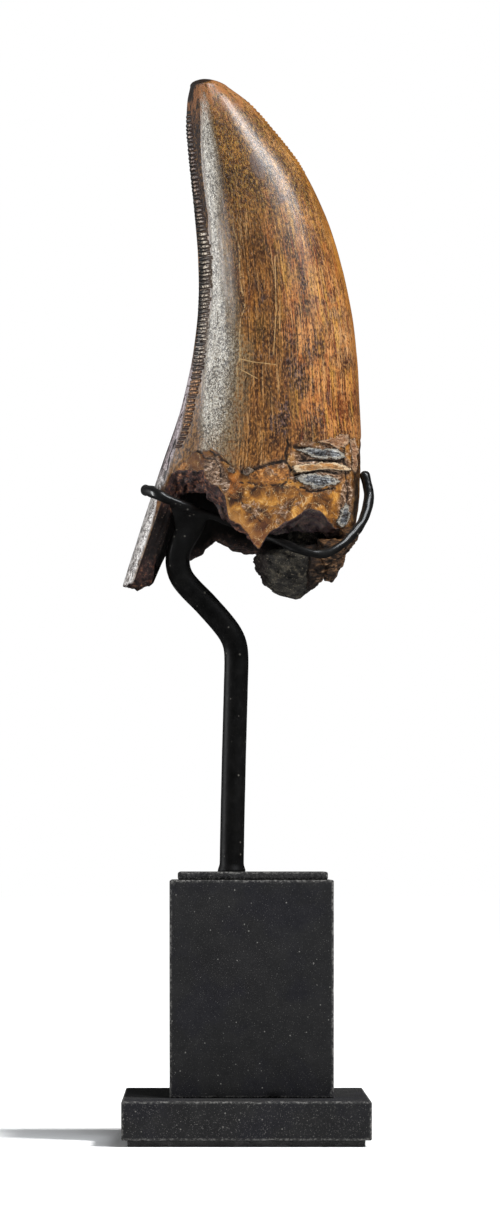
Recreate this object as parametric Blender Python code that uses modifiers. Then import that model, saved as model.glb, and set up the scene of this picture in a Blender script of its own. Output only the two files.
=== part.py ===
"""Fossil tyrannosaur tooth held on a bent rod above a stepped black stone base.

Blender 4.5, metres, +Z up. The origin is the centre of the base's underside.
Front is -Y: the side on which the tooth shows its broken root wall.
"""

import math

import bmesh
import bpy
from mathutils import Vector

MM = 0.001
GAP = 0.3 * MM

# Base, bottom to top
PLINTH_WIDTH = 50.0 * MM
PLINTH_HEIGHT = 7.8 * MM
PAD_WIDTH = 47.6 * MM
PAD_HEIGHT = 1.05 * MM
BLOCK_WIDTH = 33.2 * MM
BLOCK_DEPTH = 28.0 * MM
BLOCK_HEIGHT = 43.8 * MM
BLOCK_OFFSET = 1.15 * MM
CAP_WIDTH = 30.4 * MM
CAP_DEPTH = 25.2 * MM
CAP_HEIGHT = 1.35 * MM
CAP_OFFSET = 1.4 * MM
STONE_BEVEL = 0.35 * MM
CAP_BEVEL = 0.5 * MM

PLINTH_BOTTOM = PAD_HEIGHT + GAP
BLOCK_BOTTOM = PLINTH_BOTTOM + PLINTH_HEIGHT + GAP
CAP_BOTTOM = BLOCK_BOTTOM + BLOCK_HEIGHT + GAP
CAP_TOP = CAP_BOTTOM + CAP_HEIGHT

# Rod and wire
ROD_RADIUS = 2.5 * MM
ROD_X = -2.8 * MM
ROD_SINK = 28.0 * MM
WIRE_RADIUS = 0.85 * MM
HEAD_START = 119.5 * MM
HEAD_END = 127.6 * MM
HEAD_WIDEN = 0.26
HEAD_FLATTEN = 0.52
HEAD_SLANT = 0.36

# Rod centreline above the cap: x, y, z in mm
ROD_BENDS = [
    (-1.9, 0.0, 97.0),
    (-1.85, 0.0, 99.4),
    (-2.35, -0.2, 102.2),
    (-3.9, -0.6, 104.9),
    (-8.2, -1.7, 109.8),
    (-11.4, -2.5, 113.0),
    (-13.1, -2.9, 115.2),
    (-13.85, -3.2, 117.6),
    (-13.75, -3.5, 120.0),
    (-12.9, -3.9, 122.3),
    (-11.7, -4.2, 124.7),
    (-10.7, -4.7, 127.6),
]

# Wire centreline from the hook behind the splinter to the tip on the right, in mm
WIRE_POINTS = [
    (-18.3, 5.1, 133.5),
    (-19.6, 2.7, 133.4),
    (-20.5, 0.0, 133.2),
    (-20.5, -2.9, 132.9),
    (-19.5, -5.6, 132.4),
    (-17.6, -7.7, 131.5),
    (-15.0, -7.6, 130.3),
    (-11.3, -6.4, 129.0),
    (-7.8, -4.9, 127.9),
    (-4.5, -4.6, 126.8),
    (0.0, -5.2, 124.8),
    (4.0, -6.5, 123.2),
    (7.8, -9.2, 121.6),
    (11.3, -11.4, 119.9),
    (15.5, -11.8, 119.2),
    (18.4, -11.2, 120.4),
    (21.0, -9.7, 122.6),
    (23.7, -7.2, 126.1),
    (25.2, -4.6, 131.2),
    (24.7, -3.6, 134.8),
    (24.1, -3.4, 136.9),
]

# Tooth outline: height, left edge, right edge and thickness, in mm
TOOTH_STATIONS = [
    (106.0, -27.6, 19.6, 25.0),
    (114.0, -25.1, 20.6, 26.0),
    (122.0, -22.5, 22.2, 26.6),
    (130.0, -19.9, 23.4, 27.0),
    (140.0, -16.6, 23.8, 26.6),
    (150.0, -13.2, 23.5, 25.4),
    (160.0, -10.7, 23.0, 23.8),
    (170.0, -9.4, 21.8, 22.0),
    (180.0, -9.25, 19.6, 20.0),
    (190.0, -10.0, 16.3, 17.6),
    (200.0, -11.0, 11.2, 14.6),
    (208.0, -11.65, 5.0, 11.2),
    (213.0, -11.6, 0.4, 8.4),
    (216.0, -11.1, -3.6, 5.6),
]
TIP_HEIGHT = 217.6
TIP_LEAN = 1.2
SECTION_POWER = 1.12

# Angle of the carina (the serrated keel) from the left extreme: height, degrees
CARINA_STATIONS = [
    (106.0, 21.0),
    (143.0, 21.0),
    (150.0, 16.0),
    (160.0, 12.0),
    (180.0, 4.0),
    (216.0, 1.0),
]
KEEL_HEIGHT = 0.45
KEEL_ANGLE = 7.0

# Broken edge of the root wall: x, outer height, inner height, in mm
FRONT_BREAK = [
    (-19.3, 113.6, 114.6),
    (-18.6, 133.6, 132.6),
    (-14.6, 136.8, 132.6),
    (-9.4, 136.2, 131.4),
    (-7.4, 134.4, 129.6),
    (-5.2, 132.6, 127.0),
    (-4.2, 129.0, 126.0),
    (-3.1, 126.4, 125.2),
    (-1.3, 124.7, 124.4),
    (0.6, 122.4, 123.6),
    (2.8, 118.4, 121.0),
    (4.4, 122.4, 123.6),
    (6.1, 124.0, 124.2),
    (9.2, 126.1, 123.6),
    (11.3, 127.7, 123.8),
    (14.3, 128.7, 123.8),
    (17.4, 125.6, 124.0),
    (19.6, 124.6, 123.6),
    (22.0, 121.4, 122.4),
]
BACK_BREAK = [
    (-22.0, 113.2, 114.4),
    (-20.4, 113.4, 114.6),
    (-18.8, 117.8, 118.6),
    (-14.5, 119.2, 120.4),
    (-11.0, 119.0, 120.2),
    (-9.2, 121.8, 122.4),
    (-6.5, 123.4, 124.0),
    (-2.1, 122.1, 122.8),
    (2.4, 120.6, 121.6),
    (6.0, 118.0, 120.0),
    (12.0, 116.4, 119.0),
    (17.0, 116.0, 118.8),
    (20.0, 119.2, 120.2),
    (22.4, 121.2, 122.0),
]
WALL = 3.6
HOLLOW_TOP = 150.0
BREAK_SLICE = 125.0
GRADED_TOP = 143.0

# Stone left in the root: height, left, right, front and back, in mm
STONE_SECTIONS = [
    (127.0, 9.0, 20.6, -7.4, 11.0),
    (123.0, 8.4, 20.8, -8.4, 11.2),
    (120.8, 6.4, 21.2, -9.0, 11.0),
    (119.6, 2.2, 20.8, -9.8, 10.4),
    (117.4, 2.2, 19.4, -9.6, 9.6),
    (115.0, 3.6, 17.4, -8.8, 8.6),
    (112.8, 5.8, 13.8, -6.6, 6.4),
    (111.2, 7.6, 11.4, -3.6, 3.4),
]
STONE_SIDES = 18
STONE_LUMP = 0.55

# Serrations
DENTICLE_TOP = 211.5
DENTICLE_BOTTOM = 141.5
DENTICLE_COUNT = 83
DENTICLE_PEAK = 0.55
DENTICLE_VALLEY = 0.02
DENTICLE_ROOT = -0.9
DENTICLE_HALF_ROOT = 0.75
DENTICLE_HALF_CREST = 0.22

CROWN_ROWS = 26
ROOT_ROWS = 7
HOLLOW_ROWS = 6
FRONT_STEP = 6.0
BACK_STEP = 12.5
COLUMN_ANGLES = (
    [0.0, 4.0, 8.0, 13.0, 20.0, 28.0, 36.0]
    + [43.0 + FRONT_STEP * step for step in range(14)]
    + [133.0 + BACK_STEP * step for step in range(15)]
    + [318.0, 327.0, 335.0, 343.0, 350.0, 356.0]
)


def clear_scene():
    for obj in list(bpy.data.objects):
        bpy.data.objects.remove(obj, do_unlink=True)


def new_collection(name):
    group = bpy.data.collections.new(name)
    bpy.context.scene.collection.children.link(group)
    return group


def make_material(name, colour, roughness, metallic):
    material = bpy.data.materials.new(name)
    material.use_nodes = True
    shader = material.node_tree.nodes["Principled BSDF"]
    shader.inputs["Base Color"].default_value = (*colour, 1.0)
    shader.inputs["Roughness"].default_value = roughness
    shader.inputs["Metallic"].default_value = metallic
    return material


def add_object(name, mesh, group, material):
    obj = bpy.data.objects.new(name, mesh)
    group.objects.link(obj)
    mesh.materials.clear()
    mesh.materials.append(material)
    return obj


def smooth(table, height, column):
    """Catmull-Rom value of one column of a table whose first column rises."""
    last = len(table) - 1
    height = min(max(height, table[0][0]), table[last][0])
    low = max(i for i in range(last) if table[i][0] <= height)
    before, start, end, after = (
        table[min(max(low + step, 0), last)] for step in (-1, 0, 1, 2)
    )
    span = end[0] - start[0]
    t = (height - start[0]) / span
    rise = end[column] - start[column]
    slope_in = rise
    slope_out = rise
    if before is not start:
        slope_in = (end[column] - before[column]) / (end[0] - before[0]) * span
    if after is not end:
        slope_out = (after[column] - start[column]) / (after[0] - start[0]) * span
    return (
        start[column]
        + slope_in * (t**3 - 2 * t**2 + t)
        + slope_out * (t**3 - t**2)
        + rise * (3 * t**2 - 2 * t**3)
    )


def straight(table, place, column):
    """Piecewise straight value of one column of a table."""
    if place <= table[0][0]:
        return table[0][column]
    for start, end in zip(table, table[1:]):
        if place <= end[0]:
            t = (place - start[0]) / (end[0] - start[0])
            return start[column] + t * (end[column] - start[column])
    return table[-1][column]


def outline(height):
    """Middle, half width and half thickness of the tooth at a height."""
    left, right, thickness = (smooth(TOOTH_STATIONS, height, i) for i in (1, 2, 3))
    middle = (left + right) / 2
    return middle, (right - left) / 2, thickness / 2


def oval(angle, half_width, half_depth):
    """Point of a lens-like oval; angle 0 is the left, 90 degrees the front."""
    depth = math.copysign(abs(math.sin(angle)) ** SECTION_POWER, math.sin(angle))
    return Vector((-half_width * math.cos(angle), -half_depth * depth, 0.0))


def carina_angle(height):
    return math.radians(smooth(CARINA_STATIONS, height, 1))


def outer_point(turn, height):
    """Point of the tooth's outside; turn is the angle from the carina."""
    dome = max(height - TOOTH_STATIONS[-1][0], 0.0) / (TIP_HEIGHT - TOOTH_STATIONS[-1][0])
    middle, half_width, half_depth = outline(height)
    shrink = math.sqrt(max(1.0 - dome**2, 0.0))
    point = oval(carina_angle(height) + turn, half_width * shrink, half_depth * shrink)
    nearness = math.remainder(turn, 2 * math.pi) / math.radians(KEEL_ANGLE)
    keel = KEEL_HEIGHT * math.exp(-(nearness**2)) * shrink
    point += point.normalized() * keel if point.length > 0 else Vector()
    return point + Vector((middle - TIP_LEAN * dome**2, 0.0, height))


def inner_point(turn, height, shrink):
    middle, half_width, half_depth = outline(height)
    point = oval(
        carina_angle(height) + turn,
        (half_width - WALL) * shrink,
        (half_depth - WALL) * shrink,
    )
    return point + Vector((middle, 0.0, height))


def broken_heights(turn):
    """Outer and inner height at which the wall is broken off, for one column."""
    at_slice = outer_point(turn, BREAK_SLICE)
    table = FRONT_BREAK if at_slice.y < 0 and turn < math.pi else BACK_BREAK
    return straight(table, at_slice.x, 1), straight(table, at_slice.x, 2)


def column_points(turn):
    """One line of points from the tip down the outside and up into the hollow."""
    outer_end, inner_end = broken_heights(turn)
    top = TOOTH_STATIONS[-1][0]
    dome = TIP_HEIGHT - top
    points = [outer_point(turn, top + dome * share) for share in (0.96, 0.8, 0.5)]
    for row in range(CROWN_ROWS):
        share = row / CROWN_ROWS
        points.append(outer_point(turn, top + (GRADED_TOP - top) * share))
    for row in range(ROOT_ROWS + 1):
        share = row / ROOT_ROWS
        points.append(outer_point(turn, GRADED_TOP + (outer_end - GRADED_TOP) * share))
    middle = inner_point(turn, (outer_end + inner_end) / 2 + 0.4, 1.0)
    points.append((points[-1] + middle) / 2)
    for row in range(HOLLOW_ROWS):
        share = row / HOLLOW_ROWS
        height = inner_end + (HOLLOW_TOP - inner_end) * math.sin(share * math.pi / 2)
        points.append(inner_point(turn, height, math.cos(share * math.pi / 2) ** 0.7))
    return points


def loft(columns, start_pole, end_pole):
    """Closed mesh through columns of points, with a pole at both ends."""
    mesh = bmesh.new()
    rows = len(columns[0])
    grid = [[mesh.verts.new(point * MM) for point in column] for column in columns]
    first = mesh.verts.new(start_pole * MM)
    last = mesh.verts.new(end_pole * MM)
    for here, there in zip(grid, grid[1:] + grid[:1]):
        mesh.faces.new((first, here[0], there[0]))
        mesh.faces.new((last, there[-1], here[-1]))
        for row in range(rows - 1):
            mesh.faces.new((here[row], here[row + 1], there[row + 1], there[row]))
    bmesh.ops.recalc_face_normals(mesh, faces=mesh.faces)
    bmesh.ops.triangulate(mesh, faces=mesh.faces)
    return mesh


def finish_mesh(mesh, name):
    data = bpy.data.meshes.new(name)
    mesh.to_mesh(data)
    mesh.free()
    return data


def tooth_body():
    columns = [column_points(math.radians(angle)) for angle in COLUMN_ANGLES]
    tip_middle = outline(TOOTH_STATIONS[-1][0])[0] - TIP_LEAN
    hollow_middle = outline(HOLLOW_TOP)[0]
    tip = Vector((tip_middle, 0.0, TIP_HEIGHT))
    dome = Vector((hollow_middle, 0.0, HOLLOW_TOP))
    return loft(columns, tip, dome)


def lump(angle, height):
    return math.sin(5.0 * angle + 1.3 * height) + 0.6 * math.sin(9.0 * angle - 2.1 * height)


def root_stone():
    """Lumpy stone wedged in the right of the root, hanging below its wall."""
    columns = []
    for side in range(STONE_SIDES):
        angle = 2 * math.pi * side / STONE_SIDES
        column = []
        for height, left, right, front, back in STONE_SECTIONS:
            middle = Vector(((left + right) / 2, (front + back) / 2, height))
            half = Vector(((right - left) / 2, (back - front) / 2))
            across = math.copysign(abs(math.cos(angle)) ** 0.7, math.cos(angle))
            along = math.copysign(abs(math.sin(angle)) ** 0.7, math.sin(angle))
            rough = STONE_LUMP * lump(angle, height) * min(half) / max(half)
            outward = Vector((math.cos(angle), math.sin(angle), 0.0)) * rough
            column.append(middle + Vector((half.x * across, half.y * along, 0.0)) + outward)
        columns.append(column)
    top = STONE_SECTIONS[0]
    low = STONE_SECTIONS[-1]
    top_pole = Vector(((top[1] + top[2]) / 2, (top[3] + top[4]) / 2, top[0] + 0.6))
    low_pole = Vector(((low[1] + low[2]) / 2, (low[3] + low[4]) / 2, low[0] - 0.3))
    return loft(columns, top_pole, low_pole)


def serration_comb():
    """One strip of denticles along the carina, its foot sunk in the tooth."""
    columns = [[], [], [], []]
    rings = 2 * DENTICLE_COUNT + 1
    for ring in range(rings):
        height = DENTICLE_TOP + (DENTICLE_BOTTOM - DENTICLE_TOP) * ring / (rings - 1)
        crest = outer_point(0.0, height)
        side = outer_point(0.05, height) - outer_point(-0.05, height)
        side.normalize()
        outward = Vector((side.y, -side.x, 0.0))
        if outward.x > 0:
            outward.negate()
        rise = DENTICLE_PEAK if ring % 2 else DENTICLE_VALLEY
        columns[0].append(crest + outward * DENTICLE_ROOT - side * DENTICLE_HALF_ROOT)
        columns[1].append(crest + outward * DENTICLE_ROOT + side * DENTICLE_HALF_ROOT)
        columns[2].append(crest + outward * rise + side * DENTICLE_HALF_CREST)
        columns[3].append(crest + outward * rise - side * DENTICLE_HALF_CREST)
    ends = [sum((column[i] for column in columns), Vector()) / 4 for i in (0, -1)]
    return loft(columns, *ends)


def join(obj, mesh_data, name, helpers):
    """Boolean union of a helper mesh into an object."""
    helper = bpy.data.objects.new(name, mesh_data)
    helpers.objects.link(helper)
    helper.hide_render = True
    helper.display_type = "WIRE"
    union = obj.modifiers.new(name, "BOOLEAN")
    union.operation = "UNION"
    union.object = helper


def make_tooth(parts, helpers, enamel):
    mesh = finish_mesh(tooth_body(), "tooth")
    tooth = add_object("tooth", mesh, parts, enamel)
    join(tooth, finish_mesh(root_stone(), "root_stone"), "root_stone", helpers)
    join(tooth, finish_mesh(serration_comb(), "serrations"), "serrations", helpers)
    mesh.shade_smooth()
    mesh.set_sharp_from_angle(angle=math.radians(32))


def spline_points(points, spacing):
    """Points of a smooth curve through the given ones, about evenly spaced."""
    path = [Vector(point) for point in points]
    result = [path[0]]
    for i in range(len(path) - 1):
        start, end = path[i], path[i + 1]
        before = path[max(i - 1, 0)]
        after = path[min(i + 2, len(path) - 1)]
        steps = max(1, round((end - start).length / spacing))
        for step in range(1, steps + 1):
            t = step / steps
            slope_in = (end - before) / 2
            slope_out = (after - start) / 2
            result.append(
                start
                + slope_in * (t**3 - 2 * t**2 + t)
                + slope_out * (t**3 - t**2)
                + (end - start) * (3 * t**2 - 2 * t**3)
            )
    return result


def make_tube(name, points, radius, resolution, group, material):
    """Round tube along points in mm, as a mesh whose caps are welded."""
    curve = bpy.data.curves.new(name, "CURVE")
    curve.dimensions = "3D"
    curve.bevel_depth = radius
    curve.bevel_resolution = resolution
    curve.use_fill_caps = True
    spline = curve.splines.new("POLY")
    spline.points.add(len(points) - 1)
    for control, point in zip(spline.points, points):
        control.co = (*(point * MM), 1.0)
    guide = bpy.data.objects.new(name + "_guide", curve)
    group.objects.link(guide)
    bpy.context.view_layer.update()
    graph = bpy.context.evaluated_depsgraph_get()
    mesh = bpy.data.meshes.new_from_object(guide.evaluated_get(graph))
    mesh.name = name
    tube = add_object(name, mesh, group, material)
    tube.matrix_world = guide.matrix_world
    bpy.data.objects.remove(guide, do_unlink=True)
    welded = bmesh.new()
    welded.from_mesh(mesh)
    bmesh.ops.remove_doubles(welded, verts=welded.verts, dist=0.00001)
    bmesh.ops.recalc_face_normals(welded, faces=welded.faces)
    welded.to_mesh(mesh)
    welded.free()
    mesh.shade_smooth()
    mesh.set_sharp_from_angle(angle=math.radians(45))
    return tube


def make_rod(parts, black_steel):
    """Bent rod whose upper end is hammered wide and flat."""
    top_of_cap = CAP_TOP / MM
    foot = (ROD_X / MM, 0.0, top_of_cap - ROD_SINK / MM)
    straight_run = [Vector(foot), Vector((foot[0], 0.0, top_of_cap + 1.0))]
    path = straight_run + spline_points(ROD_BENDS, 2.6)
    rod = make_tube("rod", path, ROD_RADIUS, 4, parts, black_steel)
    centre = sorted((point.z, point.x, point.y) for point in path)
    for vertex in rod.data.vertices:
        height = vertex.co.z
        if height <= HEAD_START:
            continue
        share = min((height - HEAD_START) / (HEAD_END - HEAD_START), 1.0)
        middle_x = straight(centre, height / MM, 1) * MM
        middle_y = straight(centre, height / MM, 2) * MM
        aside = (vertex.co.x - middle_x) * (1 + HEAD_WIDEN * share**2)
        vertex.co.x = middle_x + aside
        vertex.co.z -= aside * HEAD_SLANT * share**4
        vertex.co.y = middle_y + (vertex.co.y - middle_y) * (1 - HEAD_FLATTEN * share)


def make_wire(parts, black_steel):
    path = spline_points(WIRE_POINTS, 1.7)
    make_tube("cradle_wire", path, WIRE_RADIUS, 3, parts, black_steel)


def make_slab(name, size, middle, bevel, group, material):
    """Box with rounded edges, standing on its bottom middle point."""
    bpy.ops.mesh.primitive_cube_add(size=1.0)
    slab = bpy.context.object
    for holder in list(slab.users_collection):
        holder.objects.unlink(slab)
    group.objects.link(slab)
    slab.name = name
    slab.data.name = name
    for vertex in slab.data.vertices:
        vertex.co.x *= size[0]
        vertex.co.y *= size[1]
        vertex.co.z = (vertex.co.z + 0.5) * size[2]
    slab.location = middle
    slab.data.materials.append(material)
    rounding = slab.modifiers.new("rounded edges", "BEVEL")
    rounding.width = bevel
    rounding.segments = 2
    slab.data.shade_smooth()
    slab.data.set_sharp_from_angle(angle=math.radians(30))
    return slab


def drill(slab, drill_bit):
    hole = slab.modifiers.new("rod hole", "BOOLEAN")
    hole.operation = "DIFFERENCE"
    hole.object = drill_bit


def make_drill_bit(helpers):
    length = ROD_SINK + 2 * GAP + CAP_HEIGHT
    bpy.ops.mesh.primitive_cylinder_add(
        vertices=24,
        radius=ROD_RADIUS + GAP,
        depth=length,
        location=(ROD_X, 0.0, CAP_TOP - ROD_SINK - GAP + length / 2),
    )
    bit = bpy.context.object
    for holder in list(bit.users_collection):
        holder.objects.unlink(bit)
    helpers.objects.link(bit)
    bit.name = "rod_drill"
    bit.hide_render = True
    bit.display_type = "WIRE"
    return bit


def make_base(parts, helpers, black_stone, felt):
    pad_size = (PAD_WIDTH, PAD_WIDTH, PAD_HEIGHT)
    make_slab("foot_pad", pad_size, (0.0, 0.0, 0.0), 0.2 * MM, parts, felt)
    plinth_size = (PLINTH_WIDTH, PLINTH_WIDTH, PLINTH_HEIGHT)
    plinth_place = (0.0, 0.0, PLINTH_BOTTOM)
    make_slab("plinth", plinth_size, plinth_place, STONE_BEVEL, parts, black_stone)
    block_size = (BLOCK_WIDTH, BLOCK_DEPTH, BLOCK_HEIGHT)
    block_place = (BLOCK_OFFSET, 0.0, BLOCK_BOTTOM)
    block = make_slab("block", block_size, block_place, STONE_BEVEL, parts, black_stone)
    cap_size = (CAP_WIDTH, CAP_DEPTH, CAP_HEIGHT)
    cap_place = (CAP_OFFSET, 0.0, CAP_BOTTOM)
    cap = make_slab("cap_plate", cap_size, cap_place, CAP_BEVEL, parts, black_stone)
    bit = make_drill_bit(helpers)
    drill(block, bit)
    drill(cap, bit)


def main():
    clear_scene()
    parts = new_collection("fossil tyrannosaur tooth")
    helpers = new_collection("cutters and joined shapes")
    enamel = make_material("tooth enamel", (0.23, 0.13, 0.06), 0.38, 0.0)
    black_steel = make_material("black steel", (0.010, 0.010, 0.010), 0.45, 0.0)
    black_stone = make_material("black stone", (0.018, 0.018, 0.019), 0.42, 0.0)
    felt = make_material("black felt", (0.012, 0.012, 0.012), 0.95, 0.0)
    make_tooth(parts, helpers, enamel)
    make_rod(parts, black_steel)
    make_wire(parts, black_steel)
    make_base(parts, helpers, black_stone, felt)


main()
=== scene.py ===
"""Looks of a fossil tyrannosaur tooth, cradled by a black rod and wire on a black stone base.

Shapes are worked out in millimetres and scaled to metres when a mesh is made.
+Z is up, -Y is the front, and the base's underside is centred on the origin.
"""

import math

import bmesh
import bpy
import numpy as np
from mathutils import Matrix, Vector


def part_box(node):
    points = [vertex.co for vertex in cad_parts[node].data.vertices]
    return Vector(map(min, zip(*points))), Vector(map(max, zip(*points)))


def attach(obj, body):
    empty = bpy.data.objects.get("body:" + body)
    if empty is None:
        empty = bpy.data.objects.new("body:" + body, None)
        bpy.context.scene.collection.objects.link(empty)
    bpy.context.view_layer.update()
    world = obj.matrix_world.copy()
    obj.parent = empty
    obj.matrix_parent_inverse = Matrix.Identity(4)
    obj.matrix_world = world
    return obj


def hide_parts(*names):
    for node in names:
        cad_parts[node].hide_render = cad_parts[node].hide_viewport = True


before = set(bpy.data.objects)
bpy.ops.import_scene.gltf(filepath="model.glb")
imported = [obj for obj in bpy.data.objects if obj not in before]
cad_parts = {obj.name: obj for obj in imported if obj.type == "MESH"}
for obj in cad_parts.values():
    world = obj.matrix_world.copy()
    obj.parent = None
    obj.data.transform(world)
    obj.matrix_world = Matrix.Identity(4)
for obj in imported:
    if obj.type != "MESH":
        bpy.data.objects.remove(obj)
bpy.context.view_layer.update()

MM = 0.001
BODY = "root"

# ------ tooth form
# Height, left edge, right edge and thickness of the tooth
TOOTH_STATIONS = np.array([
    (106, -27.6, 19.6, 25), (114, -25.1, 20.6, 26), (122, -22.5, 22.2, 26.6),
    (130, -19.9, 23.4, 27), (140, -16.6, 23.8, 26.6), (150, -13.2, 23.5, 25.4),
    (160, -10.7, 23, 23.8), (170, -9.4, 21.8, 22), (180, -9.25, 19.6, 20), (190, -10, 16.3, 17.6),
    (200, -11, 11.2, 14.6), (208, -11.65, 5, 11.2), (213, -11.6, 0.4, 8.4),
    (216, -11.1, -3.6, 5.6),
])
DOME_START = 216
TIP_HEIGHT = 217.6
TIP_LEAN = 1
SECTION_POWER = 1.12

# Height and angle in degrees of the carina, the serrated keel, from the left extreme
CARINA_STATIONS = np.array([
    (106, 21), (143, 21), (150, 16), (160, 12), (180, 4), (216, 1),
])
KEEL_HEIGHT = 0.45
KEEL_ANGLE = math.radians(7)

# Height, and turn in degrees from the carina of the long soft ridge beside the pale facet
FACET_STATIONS = np.array([
    (106, 46), (135, 47), (143.8, 48), (150.6, 50.5), (155.6, 51.5), (160.6, 52), (165.7, 54),
    (170.7, 57.5), (180.8, 61.3), (186, 61.5), (196.2, 62), (206.4, 65), (214.4, 74), (216, 78),
])
# Height, and turns of the left and right borders of the silvery core on that facet, pale enamel
# under a painted sheen
CORE_STATIONS = np.array([
    (106, 31, 44), (136, 26, 45), (143.5, 24, 46), (146.6, 21.5, 47.5), (151.7, 20.5, 48.5),
    (156.9, 16.5, 49.6), (162, 16, 50), (167.1, 17, 43), (172.3, 22, 41.5), (177.4, 23.6, 40.5),
    (182.5, 26.6, 40.5), (187.7, 29.5, 44.6), (192.8, 28.8, 52), (198, 30.5, 58), (203, 35, 62),
    (208.2, 42.5, 64.5), (214.4, 52, 72), (216, 56, 76),
])
FACET_HOLLOW = 0.38
FACET_RIDGE = 0.26

# Broken edge of the front wall: x, outer height, inner height
FRONT_BREAK = np.array([
    (-17.2, 134.9, 132.6), (-15.6, 136.2, 132.8), (-14.2, 136.5, 132), (-11.6, 136.5, 131.8),
    (-8.8, 136.2, 131.6), (-8.3, 134.6, 131), (-7, 133.2, 129.4), (-5.2, 132.2, 127.4),
    (-4.2, 131.3, 126.6), (-4, 129, 126.2), (-3.8, 127.2, 125.8), (-3.3, 126, 125.2),
    (-1.2, 124.8, 124.4), (0, 123.3, 123.6), (1.4, 121.6, 122.4), (2.7, 120.2, 121.8),
    (3.5, 121.4, 122.4), (4.4, 123, 123.4), (6.1, 124.4, 123.2), (9.2, 126.1, 123.6),
    (11.3, 127.6, 123.8), (13, 128.9, 124), (14.4, 128.6, 123.8), (15.8, 127.4, 123.8),
    (17.2, 125.6, 124), (18.6, 124.8, 123.8), (20.4, 125, 123.2), (22, 121.4, 121.4),
])
BACK_BREAK = np.array([
    (-24.8, 113.8, 113.6), (-23.6, 113.3, 113.4), (-22.4, 112.9, 114), (-21.9, 112.8, 115.4),
    (-21.2, 115.8, 117.4), (-20.4, 118.2, 118.6), (-19.6, 119.6, 119.8), (-18, 120.2, 120.6),
    (-16, 120.3, 120.8), (-14.5, 120.2, 120.8), (-11, 119.8, 120.8), (-9.2, 121.8, 122.4),
    (-6.5, 123.4, 124), (-2.1, 122.1, 122.8), (2.4, 120.6, 121.6), (6, 118, 120), (12, 116.4, 119),
    (17, 116, 118.8), (20, 119.2, 120.2), (22.4, 121.2, 122),
])
SPLINTER_FACE = math.radians(5.6)
SPLINTER_LEDGE = math.radians(8.2)
SPLINTER_FOOT = 113.7
SPLINTER_FOOT_INSIDE = 113.4
LOWEST_BREAK = 112
BREAK_JAG = 0.44
WALL = 3.6
HOLLOW_TOP = 150
GRADED_TOP = 143

# Mesh of the tooth
COLUMNS = 324
CROWN_ROWS = 158
ROOT_ROWS = 56
FRACTURE_ROWS = 28
HOLLOW_ROWS = 22
RING_FOR_OUTWARD = 40


def cubic(table, place, column):
    """Catmull-Rom value of one column of a table, for an array of places."""
    knots = table[:, 0]
    values = table[:, column]
    slopes = np.gradient(values, knots)
    slopes[1:-1] = (values[2:] - values[:-2]) / (knots[2:] - knots[:-2])
    place = np.clip(place, knots[0], knots[-1])
    low = np.clip(np.searchsorted(knots, place, side="right") - 1, 0, len(knots) - 2)
    span = knots[low + 1] - knots[low]
    t = (place - knots[low]) / span
    return (
        values[low] * (2 * t**3 - 3 * t**2 + 1)
        + slopes[low] * span * (t**3 - 2 * t**2 + t)
        + values[low + 1] * (3 * t**2 - 2 * t**3)
        + slopes[low + 1] * span * (t**3 - t**2)
    )


def columns_of(table, place):
    """Catmull-Rom values of all columns of a table after its first."""
    return [cubic(table, place, column) for column in range(1, table.shape[1])]


def linear(table, place, column=1):
    return np.interp(place, table[:, 0], table[:, column])


def bell(values, width):
    return np.exp(-((values / width) ** 2))


def soft_step(values, low, high):
    t = np.clip((values - low) / (high - low), 0, 1)
    return t * t * (3 - 2 * t)


def wrapped_turn(turn):
    return np.arctan2(np.sin(turn), np.cos(turn))


def signed_power(values, power):
    return np.sign(values) * np.abs(values) ** power


def unit(vectors):
    return vectors / np.maximum(np.linalg.norm(vectors, axis=-1, keepdims=True), 1e-9)


def lattice_noise(points, cell, seed):
    """Smooth repeatable noise from -1 to 1 at points, with one lump per cell."""
    scaled = points / np.asarray(cell, float)
    base = np.floor(scaled).astype(np.int64)
    part = scaled - base
    part = part * part * (3 - 2 * part)
    total = np.zeros(points.shape[:-1])
    for corner in range(8):
        step = np.array([corner & 1, (corner >> 1) & 1, corner >> 2])
        cell_index = base + step
        key = (
            cell_index[..., 0] * 73856093
            ^ cell_index[..., 1] * 19349663
            ^ cell_index[..., 2] * 83492791
            ^ seed * 2654435761
        ) & 0xFFFFFFFF
        key = ((key ^ (key >> 15)) * 2246822519) & 0xFFFFFFFF
        key = ((key ^ (key >> 13)) * 3266489917) & 0xFFFFFFFF
        value = ((key ^ (key >> 16)) & 0xFFFF) / 32767.5 - 1
        weight = np.where(step, part, 1 - part).prod(axis=-1)
        total += value * weight
    return total


def rough(points, cell, seed, octaves=3):
    """Sum of finer and finer lattice noise."""
    total = np.zeros(points.shape[:-1])
    for octave in range(octaves):
        total += lattice_noise(points, np.asarray(cell) / 2**octave, seed + octave) / 2**octave
    return total


def blocky(points, cell, seed, levels):
    """Lattice noise in flat steps."""
    return np.round(rough(points, cell, seed, 2) * levels) / levels


def outline(height):
    left, right, thickness = columns_of(TOOTH_STATIONS, height)
    return (left + right) / 2, (right - left) / 2, thickness / 2


def oval(angle, half_width, half_depth):
    """Lens-like oval; angle 0 is the left, 90 degrees the front."""
    return -half_width * np.cos(angle), -half_depth * signed_power(np.sin(angle), SECTION_POWER)


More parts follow.
